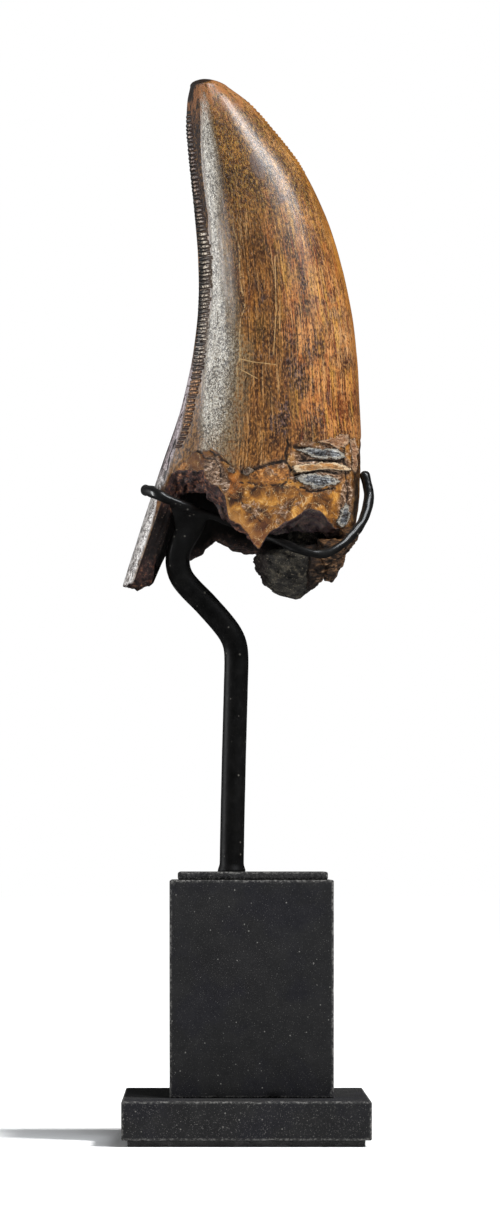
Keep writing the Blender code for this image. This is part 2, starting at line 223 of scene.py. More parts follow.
def outer_surface(turn, height):
    """Points of the tooth's outside, for arrays of turn from the carina and of height."""
    turn, height = np.broadcast_arrays(turn, height)
    middle, half_width, half_depth = outline(height)
    dome = np.maximum(height - DOME_START, 0) / (TIP_HEIGHT - DOME_START)
    shrink = np.sqrt(np.maximum(1 - dome**1.5, 0))
    angle = np.radians(cubic(CARINA_STATIONS, height, 1)) + turn
    x, y = oval(angle, half_width * shrink, half_depth * shrink)
    wrapped = wrapped_turn(turn)
    lift = KEEL_HEIGHT * bell(wrapped, KEEL_ANGLE)
    facet = np.radians(cubic(FACET_STATIONS, height, 1))
    across = np.clip(wrapped / facet, 0, 1)
    lift -= FACET_HOLLOW * np.sin(math.pi * across) ** 2 * (wrapped > 0)
    lift += FACET_RIDGE * bell(wrapped - facet, 0.16)
    length = np.maximum(np.hypot(x, y), 1e-6)
    room = np.clip(half_depth * shrink / 6, 0, 1)
    x = x + x / length * lift * room
    y = y + y / length * lift * room
    return np.stack([x + middle - TIP_LEAN * dome, y, height], axis=-1)


def inner_surface(turn, height, shrink):
    turn, height, shrink = np.broadcast_arrays(turn, height, shrink)
    middle, half_width, half_depth = outline(height)
    angle = np.radians(cubic(CARINA_STATIONS, height, 1)) + turn
    x, y = oval(angle, (half_width - WALL) * shrink, (half_depth - WALL) * shrink)
    return np.stack([x + middle, y, height], axis=-1)


def column_turns():
    """Turns from the carina, packed closer at the keel and over the front."""
    fine = np.linspace(0, 2 * math.pi, 4001)
    wrapped = wrapped_turn(fine)
    density = 1 + 2.6 * bell(wrapped, 0.16) + 0.55 * (np.sin(fine) > 0)
    density += 0.8 * bell(wrapped - math.pi, 0.3)
    filled = np.concatenate([[0], np.cumsum((density[1:] + density[:-1]) / 2)])
    return np.interp(np.arange(COLUMNS) / COLUMNS, filled / filled[-1], fine)


def break_of(turns):
    """Outer and inner heights at which the root wall is broken off, per column."""
    heights = np.linspace(GRADED_TOP - 2, LOWEST_BREAK, 400)
    points = outer_surface(turns[:, None], heights[None, :])
    front = (turns > 0) & (turns < math.pi)
    outer = np.empty(len(turns))
    inner = np.empty(len(turns))
    for i, turn in enumerate(turns):
        table = FRONT_BREAK if front[i] else BACK_BREAK
        limit = linear(table, points[i, :, 0], 1)
        below = np.flatnonzero(heights <= limit)
        hit = below[0] if len(below) else len(heights) - 1
        outer[i] = heights[hit]
        inner[i] = linear(table, points[i, hit, 0], 2)
        if 0 < turn < SPLINTER_LEDGE:
            share = max(0, (turn - SPLINTER_FACE) / (SPLINTER_LEDGE - SPLINTER_FACE))
            outer[i] = SPLINTER_FOOT + (outer[i] - SPLINTER_FOOT) * share
            inner[i] = SPLINTER_FOOT_INSIDE + (inner[i] - SPLINTER_FOOT_INSIDE) * share
    edge = outer_surface(turns, outer)
    jag = rough(edge * [1, 1, 0.4], 2.2, 11) + 0.6 * lattice_noise(edge * [1, 1, 0.4], 0.7, 15)
    return outer + BREAK_JAG * jag, inner + BREAK_JAG * 1.3 * rough(edge, 2.6, 21)


def grid_faces(rows, columns):
    """Quads of a grid that closes round its columns."""
    row, column = np.arange(rows - 1)[:, None] * columns, np.arange(columns)
    here, right = row + column, row + (column + 1) % columns
    return np.stack([here, here + columns, right + columns, right], axis=-1).reshape(-1, 4)


def grid_normals(grid):
    """Outward normals of a closed grid of points, as rows by columns."""
    along = np.gradient(grid, axis=0)
    around = np.roll(grid, -1, axis=1) - np.roll(grid, 1, axis=1)
    return unit(np.cross(along, around))


def new_object(name, data, **settings):
    """Object in the scene, from its data and settings of that data."""
    for key, value in settings.items():
        setattr(data, key, value)
    made = bpy.data.objects.new(name, data)
    bpy.context.scene.collection.objects.link(made)
    return made


def mesh_object(name, points, faces):
    """Object from points in millimetres and lists of faces, its normals made to agree."""
    mesh = bpy.data.meshes.new(name)
    mesh.from_pydata((np.asarray(points) * MM).tolist(), [], [list(map(int, f)) for f in faces])
    mesh.update()
    fixer = bmesh.new()
    fixer.from_mesh(mesh)
    bmesh.ops.recalc_face_normals(fixer, faces=fixer.faces)
    fixer.to_mesh(mesh)
    fixer.free()
    mesh.shade_smooth()
    return new_object(name, mesh)


def closed_grid(name, grid, poles=None):
    """Closed object from a grid of points, with a pole amid each end unless they are given."""
    rows, columns = grid.shape[:2]
    if poles is None:
        poles = [grid[0].mean(axis=0), grid[-1].mean(axis=0)]
    faces = grid_faces(rows, columns).tolist()
    first, foot = rows * columns, (rows - 1) * columns
    for i in range(columns):
        j = (i + 1) % columns
        faces += [[first, i, j], [first + 1, foot + j, foot + i]]
    return mesh_object(name, np.concatenate([grid.reshape(-1, 3), poles]), faces)


def paint(piece, name, values):
    """Stores one number, or one vector, per point of a piece for its material."""
    values = np.asarray(values, np.float32)
    kind, key = ("FLOAT_VECTOR", "vector") if values.ndim == 2 else ("FLOAT", "value")
    layer = piece.data.attributes.new(name, kind, "POINT")
    layer.data.foreach_set(key, values.ravel())


def dressed(piece, material, slot, *nodes):
    """Gives a piece its material and body, and hides the CAD nodes that it stands for. Its slot is
    not used.
    """
    piece.data.materials.clear()
    piece.data.materials.append(material)
    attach(piece, BODY)
    if nodes:
        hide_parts(*nodes)
    return piece


# ------ marks on the tooth
# Foot of the enamel on the front: x, height
ENAMEL_FOOT = np.array([
    (-21.6, 106), (-20, 118), (-17.9, 132.6), (-14, 137.2), (-11.6, 139.8), (-7, 140.6),
    (-4.4, 138.6), (-2.8, 136.4), (0, 136), (5.1, 137.6), (8.1, 138.2), (9.4, 141.2), (13, 142.2),
    (16.5, 141.8), (20.4, 143), (24, 143.8),
])
BACK_FOOT = 136.5
# Cracks on the front: half width, depth, then points of x and height
CRACKS = [
    (0.24, 0.4, [(-1.2, 135.6), (2.6, 136.4), (5.2, 137.3), (8.2, 138)]),
    (0.3, 0.45, [(8, 142.6), (8.6, 141), (8.1, 139.4), (8.5, 137.6), (9.2, 136.2)]),
    (0.18, 0.22, [(-9.8, 140.4), (-8.6, 138.9), (-6.6, 138.5), (-5.2, 136.8), (-5.4, 134.6)]),
    (0.16, 0.18, [(-7.2, 140.2), (-5.4, 139), (-3.6, 137.4)]),
    (0.16, 0.2, [(9, 136), (8.6, 134.2), (7.2, 132.8)]),
    (0.14, 0.15, [(-3, 133.6), (0.8, 133.4), (5.6, 133), (10.2, 133.8)]),
    (0.14, 0.18, [(-3.6, 129.6), (-1.4, 129.9), (0.8, 128.6), (1.2, 126.8), (3, 125.6)]),
    (0.14, 0.16, [(1.2, 126.8), (3.6, 128.2), (6.4, 128)]),
    (0.15, 0.25, [(-14.2, 144.6), (-15, 141.6), (-15.8, 139.2), (-16.7, 134.6)]),
    (0.34, 0.5, [(10, 140.6), (12.6, 140.5), (14, 140.2)]),
    (0.3, 0.42, [(11, 138.1), (15, 138.4), (19.6, 138.3)]),
    (0.3, 0.42, [(10, 135.2), (12.4, 135.6), (15.4, 136.3), (18.8, 136)]),
    (0.22, 0.3, [(11, 132.6), (13.4, 131.9), (15.6, 132.2), (18.6, 133)]),
    (0.2, 0.25, [(20.4, 142.4), (20.2, 138), (20.9, 134), (21, 130)]),
]
# Dark and purple stains in the enamel: x, height, half width, half height, strength
STAINS = [
    (11.6, 175, 2.4, 4.4, 0.55), (13.5, 161.5, 3.2, 4.4, 0.6), (10.8, 155, 2.6, 4.2, 0.95),
    (8.4, 162, 1.5, 4, 0.75), (7, 147.2, 2, 4.2, 1), (14.4, 147, 2.6, 4, 0.65),
    (4, 160.4, 2.6, 4.2, 0.4), (3, 171.5, 2.2, 4, 0.4), (7.6, 184, 3, 5, 0.35),
    (-2, 146, 2.2, 4, 0.35), (18.4, 152, 1.4, 4, 0.35), (9, 158, 1.2, 3, 0.9),
    (13, 153.6, 1.2, 2.6, 0.7),
]
# Orange and ochre stains, in the same terms
OCHRE = [
    (10.2, 172, 1.6, 4, 0.8), (11.8, 163.6, 1.4, 4.6, 0.9), (7.2, 165, 1, 3, 0.6),
    (14.2, 157, 1.8, 4.4, 0.8), (12.4, 149, 2.2, 4, 0.9), (18.8, 150, 2.2, 6, 0.9),
    (9.4, 168.6, 1.2, 3, 0.8), (16.4, 176, 2, 6, 0.5), (4, 186, 2, 6, 0.5),
    (-4.4, 208, 2.2, 4, 0.5), (17.4, 144.6, 2.6, 2.2, 0.7), (8.6, 164.4, 0.9, 2.6, 1),
    (11, 159.6, 1, 3.2, 1), (14.6, 149.4, 1.2, 3.6, 1), (17, 160, 1, 5, 0.9),
]
# Straight pale scratches on the front: half width, and x and height of both ends
SCRATCHES = [
    (0.1, (-1.7, 158.9), (1.6, 158.1)), (0.11, (1.2, 158.15), (6.3, 157.5)),
    (0.09, (-1.2, 156.7), (2.5, 154.6)), (0.1, (5.9, 180), (6.15, 168)),
    (0.09, (6.1, 168.5), (5.6, 159.4)), (0.08, (6.9, 171), (6.9, 164.6)),
]
# Patches of the root, in the terms of the stains
GRANULAR = [(-14.5, 138, 3, 2, 1), (4.6, 135.2, 5.2, 1.7, 1), (0.5, 136.8, 2.6, 0.9, 1),
            (-16.2, 135.8, 1.6, 1.4, 1), (9, 144, 1.2, 1.6, 1)]
LAYERED = [(-6.5, 136, 2.4, 3.6, 1), (-4.4, 133.4, 1.2, 2.2, 1), (15.4, 137.6, 6.4, 4.2, 1),
           (20.6, 130, 1.6, 5, 1)]
EMBER = [(-2.6, 133.4, 1.9, 3.4, 1)]
# Extra roughness of the break, and marks near the tip
CRUMBLY = [(-12, 132, 7, 6, 0.38), (11, 124, 8, 6, 0.22)]
SMUDGES = [(2.6, 198, 1.6, 2.4, 1.1), (1.6, 200.6, 1, 1.4, 0.6), (7.4, 192, 1.6, 1.8, 0.6)]
WORN_TIP = [(-9.3, 217.9, 2.7, 1.7, 1.4), (-11.4, 215.2, 0.9, 2.8, 1.1)]


def distance_to_line(x, z, line):
    nearest = np.full(x.shape, 1e9)
    for (ax, az), (bx, bz) in zip(line, line[1:]):
        dx, dz = bx - ax, bz - az
        t = np.clip(((x - ax) * dx + (z - az) * dz) / (dx * dx + dz * dz), 0, 1)
        nearest = np.minimum(nearest, np.hypot(x - ax - t * dx, z - az - t * dz))
    return nearest


def tooth_grid():
    """Grid of the whole tooth, from the tip down its outside and up into its hollow."""
    turns = column_turns()
    outer, inner = break_of(turns)
    dome = DOME_START + (TIP_HEIGHT - DOME_START) * np.sin(np.linspace(1.45, 0.12, 9))
    crown = np.linspace(DOME_START, GRADED_TOP, CROWN_ROWS, endpoint=False)
    rows = [outer_surface(turns, np.full(COLUMNS, h)) for h in np.concatenate([dome, crown])]
    for share in np.linspace(0, 1, ROOT_ROWS):
        rows.append(outer_surface(turns, GRADED_TOP + (outer - GRADED_TOP) * share))
    outside = len(rows)
    edge = rows[-1]
    lip = inner_surface(turns, inner, 1)
    for share in np.linspace(0, 1, FRACTURE_ROWS + 1)[1:]:
        rows.append(edge + (lip - edge) * share)
    broken = len(rows)
    for share in np.linspace(0, 1, HOLLOW_ROWS, endpoint=False)[1:]:
        height = inner + (HOLLOW_TOP - inner) * math.sin(share * math.pi / 2)
        rows.append(inner_surface(turns, height, math.cos(share * math.pi / 2) ** 0.7))
    return turns, np.array(rows), outside, broken


def spots(x, z, table, together=np.max):
    """Blots of a table brought together; a row is a middle, two half sizes and a strength."""
    return together([
        strength * bell(x - middle_x, half_x) * bell(z - middle_z, half_z)
        for middle_x, middle_z, half_x, half_z, strength in table
    ], axis=0)


def make_tooth_body(material):
    turns, grid, outside, broken = tooth_grid()
    row = np.arange(len(grid))[:, None]
    is_outside = row < outside
    x, y, z = np.moveaxis(grid, -1, 0)
    front = np.sin(turns)[None, :] > 0
    facet = np.radians(cubic(FACET_STATIONS, z, 1))
    wrapped = wrapped_turn(turns) + 0 * z

    seen_left = (wrapped > -0.9) & (wrapped < 0)
    foot = np.where(front | seen_left, linear(ENAMEL_FOOT, x), BACK_FOOT + 1.5 * np.sin(x / 4))
    foot = foot + 0.5 * rough(grid, 2, 31)
    enamel = soft_step(z, foot - 0.18, foot + 0.18)
    ledge = bell(z - foot, 0.35)
    crack = np.zeros(x.shape)
    dent = np.zeros(x.shape)
    shift = 0.3 * rough(grid, 1.3, 41)
    for half_width, depth, line in CRACKS:
        gap = distance_to_line(x + shift, z + shift * 0.7, line)
        mask = bell(gap, half_width) * front
        crack = np.maximum(crack, mask)
        dent = np.maximum(dent, mask * depth)

    waves = 0.06 * rough(np.stack([wrapped * 12, z / 4, 0 * z], axis=-1), 2.4, 51)
    waves = waves * (1 - 0.85 * soft_step(z, 176, 200))
    last_rows = soft_step(row, outside - 14, outside - 1)
    lift = waves - (1 - enamel) * (0.16 - 0.1 * rough(grid, 1.7, 61)) - dent - 0.1 * ledge
    lift = lift + last_rows * 0.1 * rough(grid, 1.1, 75)
    fracture_share = np.clip((row - outside + 1) / FRACTURE_ROWS, 0, 1)
    crumbly = 0.42 + front * spots(x, z, CRUMBLY, np.sum)
    crumbly = crumbly * np.sin(np.clip(fracture_share * 1.15, 0, 1) * math.pi / 2)
    lumps = rough(grid, 2.3, 71, 4) + 0.55 * rough(grid, 0.9, 77, 2)
    lumps = lumps + 0.7 * blocky(grid, 3, 83, 2)
    normals = grid_normals(grid)
    ring = grid[RING_FOR_OUTWARD]
    if (normals[RING_FOR_OUTWARD] * (ring - ring.mean(axis=0))).sum() < 0:
        normals = -normals
    grid = grid + normals * np.where(is_outside, lift, crumbly * lumps)[..., None]
    tip = [*grid[0, :, :2].mean(axis=0), TIP_HEIGHT]
    dome = [*grid[-1, :, :2].mean(axis=0), HOLLOW_TOP]
    piece = closed_grid("tooth_body", grid, [tip, dome])

    def mark(name, values, start=0, end=0):
        """Paints values of the grid, and those of the tip and of the hollow's top."""
        values = np.broadcast_to(values, x.shape).ravel()
        paint(piece, name, np.concatenate([values, [start, end]]))

    def mark_outside(name, values, start=0):
        mark(name, values * is_outside, start)

    across = 7 * wrapped + np.sign(wrapped) * 0.32 * (x + 20)
    growth = np.stack([across, z, outline(z)[2]], axis=-1).reshape(-1, 3)
    paint(piece, "growth", np.concatenate([growth, [[0, TIP_HEIGHT, 0], [0, HOLLOW_TOP, 0]]]))
    mark("height", z, TIP_HEIGHT, HOLLOW_TOP)
    mark("around", np.abs(wrapped) / math.pi)
    mark("broken", 1 * (row >= outside - 1))
    mark("inside", 1 * (row >= broken), 0, 1)
    mark_outside("front", 1 * front)
    mark_outside("enamel", enamel, 1)
    mark_outside("crack", np.clip(crack + 0.5 * ledge, 0, 1))

    # silvery core of the facet, pale crazed enamel under a painted sheen brightest along its
    # middle; the pale strip left of it, pale in its own colour and lighter still as painted sheen;
    # and the skin round them
    left_edge, right_edge = np.radians(columns_of(CORE_STATIONS, z))
    width = np.maximum(right_edge - left_edge, 0.1)
    waver = 0.025 * rough(np.stack([0 * z, 0 * z, z], axis=-1), 5, 91)
    to_right = right_edge - wrapped - waver
    core = soft_step(wrapped + waver - left_edge, -0.09, 0.09) * soft_step(to_right, -0.2, 0.16)
    # painted sheen: the core is coloured pale and silvery, as light on the facet
    mark_outside("painted_sheen_band", core * soft_step(217 - z, 0, 7) * (z > 128))
    painted_sheen_peak = soft_step((wrapped - left_edge) / width, -0.05, 0.22)
    mark_outside("painted_sheen_peak", painted_sheen_peak * soft_step(to_right / width, -0.3, 0.42))
    # strip: the splinter's outer face, pale in its own colour and painted lighter still as sheen
    # from the left
    low = soft_step(142 - z, 0, 14)
    strip = soft_step(0.09 - wrapped, -0.04, 0.04) * soft_step(164 - z, 0, 8)
    mark_outside("strip", strip * soft_step(wrapped + 0.22 + 0.34 * low, 0, 0.08 + 0.14 * low))
    fade = soft_step(to_right + 0.26, 0, 0.26) * soft_step(189 - z, 0, 8)
    mark_outside("fade", fade * soft_step(wrapped - left_edge, 0, 0.1))
    rim = (z > 137) * soft_step(162 - z, 0, 8) * soft_step(-0.14 - wrapped, 0, 0.06)
    mark_outside("rim", rim * soft_step(wrapped, -0.6, -0.45))
    mark("rib_gap", wrapped + 1.4 * waver - facet, 9, 9)
    crazed = soft_step(facet + 0.08 - wrapped, 0, 0.18) * soft_step(wrapped, -0.5, 0)
    mark_outside("crazed", np.maximum(crazed, soft_step(z, 176, 200)), 1)
    beside = soft_step(left_edge + 0.01 - wrapped - waver, 0, 0.08)
    beside = beside * soft_step(wrapped, -0.3, -0.1)
    mark_outside("lee", beside * soft_step(z, 181, 191))
    mark_outside("russet", beside * soft_step(163 - z, 0, 10))

    # lower edge of the wall, painted lighter along its rounding as a highlight, cool side of the
    # break and patches of colour
    # lip: painted highlight along the rounded lower edge of the front wall
    lip = soft_step(row, outside - 9, outside - 3) * soft_step(x, -6, -3.6)
    mark_outside("lip", lip * soft_step(6 - x, 0, 3) * (z > 118) * front)
    mark("cool", soft_step(x, 0.6, 3.4) * front)
    shaded = soft_step(x + 0.3 * rough(grid, 1.6, 93), 21.7, 22.5) * soft_step(5 - y, 0, 8)
    shade_top = 143.4 - z + 1.6 * rough(grid, 2.4, 94)
    mark_outside("shaded", shaded * soft_step(shade_top, 0, 3))
    wander = 1.2 * rough(grid, 2.6, 95)
    back_stain = 0.75 * soft_step(rough(grid * [1, 1, 0.45], 5, 97), 0.35, 0.9)
    back_ochre = 0.8 * soft_step(rough(grid * [1, 1, 0.4], 4, 99), 0.35, 0.9)
    mark_outside("stain", np.where(front, spots(x + wander, z, STAINS), back_stain))
    mark_outside("ochre", np.where(front, spots(x + wander, z, OCHRE), back_ochre))
    near_x, near_z = x + wander * 0.4, z + wander * 0.3
    mark_outside("granular", spots(near_x, near_z, GRANULAR) * front)
    mark_outside("layered", spots(near_x, near_z, LAYERED) * front)
    mark_outside("ember", spots(near_x, z, EMBER) * front)
    mark_outside("smudge", spots(x, z, SMUDGES, np.sum) * front)
    mark_outside("worn_tip", spots(x, z, WORN_TIP, np.sum), 1)
    return dressed(piece, material, "fossil_tooth", "tooth")


# ------ serrations
# Share of the way down, and middle and half width in degrees of turn
COMB_STATIONS = np.array([
    (0, 8, 13), (0.27, 9.5, 11), (0.38, 12, 12), (0.45, 13.5, 13), (0.6, 9.5, 10.5),
    (0.72, 9.8, 9), (0.8, 10, 7), (0.85, 10, 5.8), (0.93, 10.2, 4.4), (1, 7.6, 3.4),
])
COMB_POINTS = 19
RINGS_PER_DENTICLE = 8


def make_comb(name, ends, count, rise, keel, material):
    """Row of blunt chisel ridges along a keel, on one strip sunk in the tooth.

    keel gives, for a share of the way down and a height, the middle and half width in turn.
    """
    rings = count * RINGS_PER_DENTICLE + 1
    share = np.linspace(0, 1, rings)
    heights = ends[0] + (ends[1] - ends[0]) * share
    phase = share * count
    phase = phase + 0.12 * np.sin(phase * 0.9) + 0.08 * np.sin(phase * 2.3)
    wave = np.clip(1.45 * np.abs(np.sin(math.pi * (phase % 1))) ** 0.8 - 0.3, -0.25, 1)
    number = np.floor(phase)
    worn_and_edge_highlight = 1 - 0.45 * (0.5 + 0.5 * np.sin(number * 2.4)) * (0.5 + 0.5 * np.sin(number * 0.9))
    taper = soft_step(share, 0, 0.05) * (0.6 + 0.4 * soft_step(1 - share, 0, 0.1))
    side = np.linspace(-1, 1, COMB_POINTS)
    profile = np.clip(1 - np.abs(side) ** 2.6, 0, 1)
    inner = [-1, COMB_POINTS // 2, 0]
    grid = np.empty((rings, COMB_POINTS + 3, 3))
    crest = np.zeros((rings, COMB_POINTS + 3))
    for i in range(rings):
        middle = outline(heights[i])[0]
        centre, width = keel(share[i], heights[i])
        reach = width * (1 + 0.16 * math.sin(number[i] * 1.9) * (side > 0))
        skin = outer_surface(side * reach + centre, np.full(COMB_POINTS, heights[i]))[:, :2]
        tangent = np.gradient(skin, axis=0)
        normal = unit(np.stack([tangent[:, 1], -tangent[:, 0]], axis=-1))
        if (normal * (skin - [middle, 0])).sum() < 0:
            normal = -normal
        lift = rise * worn_and_edge_highlight[i] * taper[i] * wave[i] * profile - 0.04
        grid[i, :COMB_POINTS, :2] = skin + normal * lift[:, None]
        grid[i, :COMB_POINTS, 2] = heights[i] + 0.35 * rise * profile * max(wave[i], 0)
        crest[i, :COMB_POINTS] = max(wave[i], 0) * taper[i] * worn_and_edge_highlight[i] * profile**0.5
        grid[i, COMB_POINTS:, :2] = skin[inner] - normal[inner] * 1.1
        grid[i, COMB_POINTS:, 2] = heights[i]
    piece = closed_grid(name, grid)
    paint(piece, "crest", np.append(crest, [0, 0]))
    paint(piece, "depth", np.append(np.repeat(share, COMB_POINTS + 3), [0, 1]))
    paint(piece, "flank", np.append(np.tile(np.append(side, [1, 0, -1]), rings), [0, 0]))
    return dressed(piece, material, "fossil_tooth", "tooth")


def front_keel(share, _):
    return np.radians(columns_of(COMB_STATIONS, share))


def back_keel(_, height):
    return math.pi - np.radians(cubic(CARINA_STATIONS, height, 1) - 3), KEEL_ANGLE


# ------ stone in the root
# Height, left, right, front and back of the stone wedged in the root
STONE_SECTIONS = np.array([
    (111, 9.6, 11, -1.6, 1.2), (111.8, 7.4, 12.2, -4.4, 4.2), (112.9, 5.4, 13.4, -6.4, 6.4),
    (115, 3.4, 15.2, -8.2, 8.6), (117.4, 2.4, 16.2, -9, 8.8), (119.4, 2.3, 16.6, -9.2, 8.9),
    (120.6, 4.6, 16.8, -7.4, 9), (122.4, 8.4, 16.9, -3.6, 9), (127, 9, 17, -1.6, 9),
])


def make_root_stone(material):
    sides, rows = 170, 120
    angle = np.linspace(0, 2 * math.pi, sides, endpoint=False)
    heights = np.linspace(STONE_SECTIONS[-1, 0], STONE_SECTIONS[0, 0], rows)[:, None]
    left, right, front, back = columns_of(STONE_SECTIONS, heights)
    x = (left + right) / 2 + (right - left) / 2 * signed_power(np.cos(angle), 0.75)
    y = (front + back) / 2 + (back - front) / 2 * signed_power(np.sin(angle), 0.75)
    grid = np.stack([x, y, heights + 0 * x], axis=-1)
    outward = unit(grid - grid.mean(axis=1, keepdims=True))
    lumps = 0.4 * rough(grid, 2, 83) + 0.22 * rough(grid, 0.8, 87)
    lumps = lumps + 0.62 * blocky(grid, (3.6, 3.6, 3), 81, 2.2)
    grid = grid + outward * lumps[..., None]
    poles = [grid[0].mean(axis=0) + [0, 0, 0.4], grid[-1].mean(axis=0) - [0, 0, 0.3]]
    piece = closed_grid("root_stone", grid, poles)
    return dressed(piece, material, "fossil_tooth", "tooth")


# Flakes of root wall at the right: name, front, back, outline as x and height
ROOT_FLAKES = [
    ("root_flake_inner", -9.2, 7, [
        (11.8, 121.6), (12, 114.8), (12.5, 113.1), (13.3, 112.7), (14.4, 113.4), (15.2, 114.4),
        (16.5, 116.2), (17, 121.8),
    ]),
    ("root_flake_middle", -8.6, 7.6, [
        (15.6, 122.6), (15.7, 116.4), (16.4, 115.2), (17.8, 114.6), (18.8, 115.8), (19.4, 117.2),
        (20.3, 118.9), (20.6, 122.8),
    ]),
    ("root_flake_outer", -7.4, 6, [
        (18.8, 125.2), (19.2, 120.9), (20.2, 119.9), (21.4, 120.8), (21.9, 121.9), (22.7, 122.8),
        (23.1, 124), (23.2, 125.4),
    ]),
    ("root_flake_back", -10.2, -3, [
        (14.6, 122.4), (14.8, 118.4), (16.2, 117.4), (17.8, 117.8), (19.6, 119.4), (20.8, 122.6),
    ]),
]


def smooth_ring(points, count):
    """Evenly spaced points along a closed outline, corners kept."""
    ring = np.array(points + points[:1])
    lengths = np.concatenate([[0], np.cumsum(np.linalg.norm(np.diff(ring, axis=0), axis=1))])
    places = np.linspace(0, lengths[-1], count, endpoint=False)
    return np.stack([np.interp(places, lengths, ring[:, k]) for k in (0, 1)], axis=-1)


def make_root_flake(name, front, back, points, seed, material):
    """Upright slab with lengthwise ridges, tapered to a ragged foot."""
    count, layers = 110, 44
    ring = smooth_ring(points, count)
    middle = ring.mean(axis=0)
    share = np.linspace(0, 1, layers)[:, None]
    squeeze = 1 - 0.62 * np.abs(2 * share - 1) ** 5
    x, z = (middle[k] + (ring[:, k] - middle[k]) * squeeze for k in (0, 1))
    grid = np.stack([x, front + (back - front) * share + 0 * x, z], axis=-1)
    outward = unit((grid - [middle[0], (front + back) / 2, middle[1]]) * [1, 0.4, 1])
    lumps = 0.22 * rough(grid * [1, 1, 0.22], 1.1, seed) + 0.24 * rough(grid, 1.1, seed + 5)
    lumps = lumps + 0.26 * blocky(grid, 2.6, seed + 9, 2)
    grid = grid + outward * lumps[..., None]
    piece = closed_grid(name, grid)
    return dressed(piece, material, "fossil_tooth", "tooth")


# Thin flakes on the front of the root: name, finish, lift, outline as x and height
SURFACE_FLAKES = [
    ("grey_flake_upper", "grey", 0.34, [
        (10.4, 140.2), (12.4, 140.9), (14.4, 140.8), (16.4, 140.9), (18.4, 140.6), (20.3, 139.8),
        (20.4, 139.2), (18.4, 138.9), (16.2, 138.8), (14, 138.9), (12.2, 139.4),
    ]),
    ("tan_layer", "tan", 0.36, [
        (9.3, 136.9), (12.2, 137.5), (15.6, 137.9), (18.2, 137.9), (21.2, 137.2), (21.6, 136.6),
        (18.6, 136.5), (15.4, 136.7), (12.4, 135.9), (9.8, 135.6),
    ]),
    ("grey_flake_lower", "grey", 0.36, [
        (10.3, 134.4), (11.6, 135.4), (14, 135.7), (16.5, 135.4), (18.5, 134.9), (19.3, 134.2),
        (18.4, 133.4), (16.5, 133.3), (15.2, 132.6), (13.6, 132.3), (12.4, 133.2), (10.8, 133.7),
    ]),
    ("edge_crystals", "ledge", 0.28, [
        (21.2, 143), (22.2, 143.4), (22.9, 141), (22.6, 136.6), (21.6, 136.8), (21.6, 140.4),
    ]),
    ("tan_ledge", "ledge", 0.08, [
        (14.6, 142), (16.6, 142.9), (18.6, 143.6), (20.9, 144.2), (21.4, 142.8), (20.4, 141.2),
        (18.6, 141.3), (16.6, 141.6),
    ]),
    ("pebble_left", "pebble", 1, [
        (-4, 136.6), (-3, 137), (-2.2, 136.4), (-2.4, 135.6), (-3.6, 135.7),
    ]),
    ("pebble_right", "pebble", 0.8, [
        (-0.8, 136.3), (0.6, 136.6), (1.3, 135.9), (0.4, 135.2), (-0.6, 135.4),
    ]),
    ("white_crystals", "grey", 0.26, [
        (20.3, 129.8), (21.2, 129.6), (21.3, 127), (20.5, 125.4), (19.4, 125), (18.5, 126),
        (19.4, 128),
    ]),
]
# Looks of those flakes: name, share of painted glint, stain, rim, then stops of position and swatch
FLAKE_FINISHES = {
    "grey": ("grey mineral flake", 0.35, (52, 38, 28), (184, 176, 160),
             (0.39, 18, 17, 18), (0.47, 62, 62, 64), (0.55, 118, 120, 122), (0.65, 212, 216, 218)),
    "tan": ("tan mineral layer", 0.12, (168, 112, 50), (226, 208, 176),
            (0.36, 86, 56, 32), (0.47, 142, 104, 64), (0.56, 180, 144, 102), (0.66, 212, 186, 152)),
    "pebble": ("brown mineral pebble", 0.1, (92, 60, 36), (150, 130, 108),
               (0.36, 40, 28, 22), (0.5, 74, 56, 44), (0.66, 118, 98, 80)),
    "ledge": ("brown mineral ledge", 0.2, (118, 76, 40), (176, 146, 116),
              (0.36, 84, 52, 32), (0.48, 128, 90, 62), (0.58, 162, 124, 92), (0.7, 212, 190, 166)),
}


FRONT_LIMIT = 0.985


def front_surface(x, z, lift):
    """Point on the front of the tooth at the given x and height, raised by lift."""
    middle, half_width, half_depth = outline(z)
    across = np.clip((middle - x) / half_width, -FRONT_LIMIT, FRONT_LIMIT)
    angle = np.arccos(across)
    turn = angle - np.radians(cubic(CARINA_STATIONS, z, 1))
    skin = outer_surface(turn, z)
    slope = np.stack([-np.cos(angle) * half_depth, -np.sin(angle) * half_width, 0 * z], axis=-1)
    return skin + unit(slope) * lift[..., None]


def make_surface_flake(name, lift, points, seed, material):
    """Ragged wafer standing proud of the root, its underside sunk in it."""
    count, rings = 96, 22
    ring = smooth_ring(points, count)
    middle = ring.mean(axis=0)
    share = np.linspace(0.04, 1, rings)
    # its rim turns under and comes back beneath it
    flat = middle + (ring - middle) * np.append(share, [1.03, 0.9])[:, None, None]
    rises = np.append(lift * (1 - 0.35 * share**2), [-0.1, -0.7])[:, None] * np.ones(count)
    wobble = np.concatenate([flat, 0 * flat[..., :1]], axis=-1)
    ragged = 0.46 * rough(wobble, 1.5, seed) + 0.26 * rough(wobble, 0.6, seed + 11)
    ragged = ragged * np.linspace(0, 1, len(flat))[:, None]
    flat = flat + unit(ring - middle) * ragged[..., None]
    texture = 0.14 * blocky(wobble * [0.4, 1.6, 1], 1.4, seed + 3, 3)
    rises[:rings] += (texture + 0.1 * rough(wobble, 0.7, seed + 7))[:rings]
    grid = front_surface(flat[..., 0], flat[..., 1], rises)
    piece = closed_grid(name, grid)
    rim = np.repeat(np.minimum(np.linspace(0, 1.1, len(flat)), 1), count)
    paint(piece, "rim", np.append(rim, [0, 1]))
    return dressed(piece, material, "fossil_tooth", "tooth")


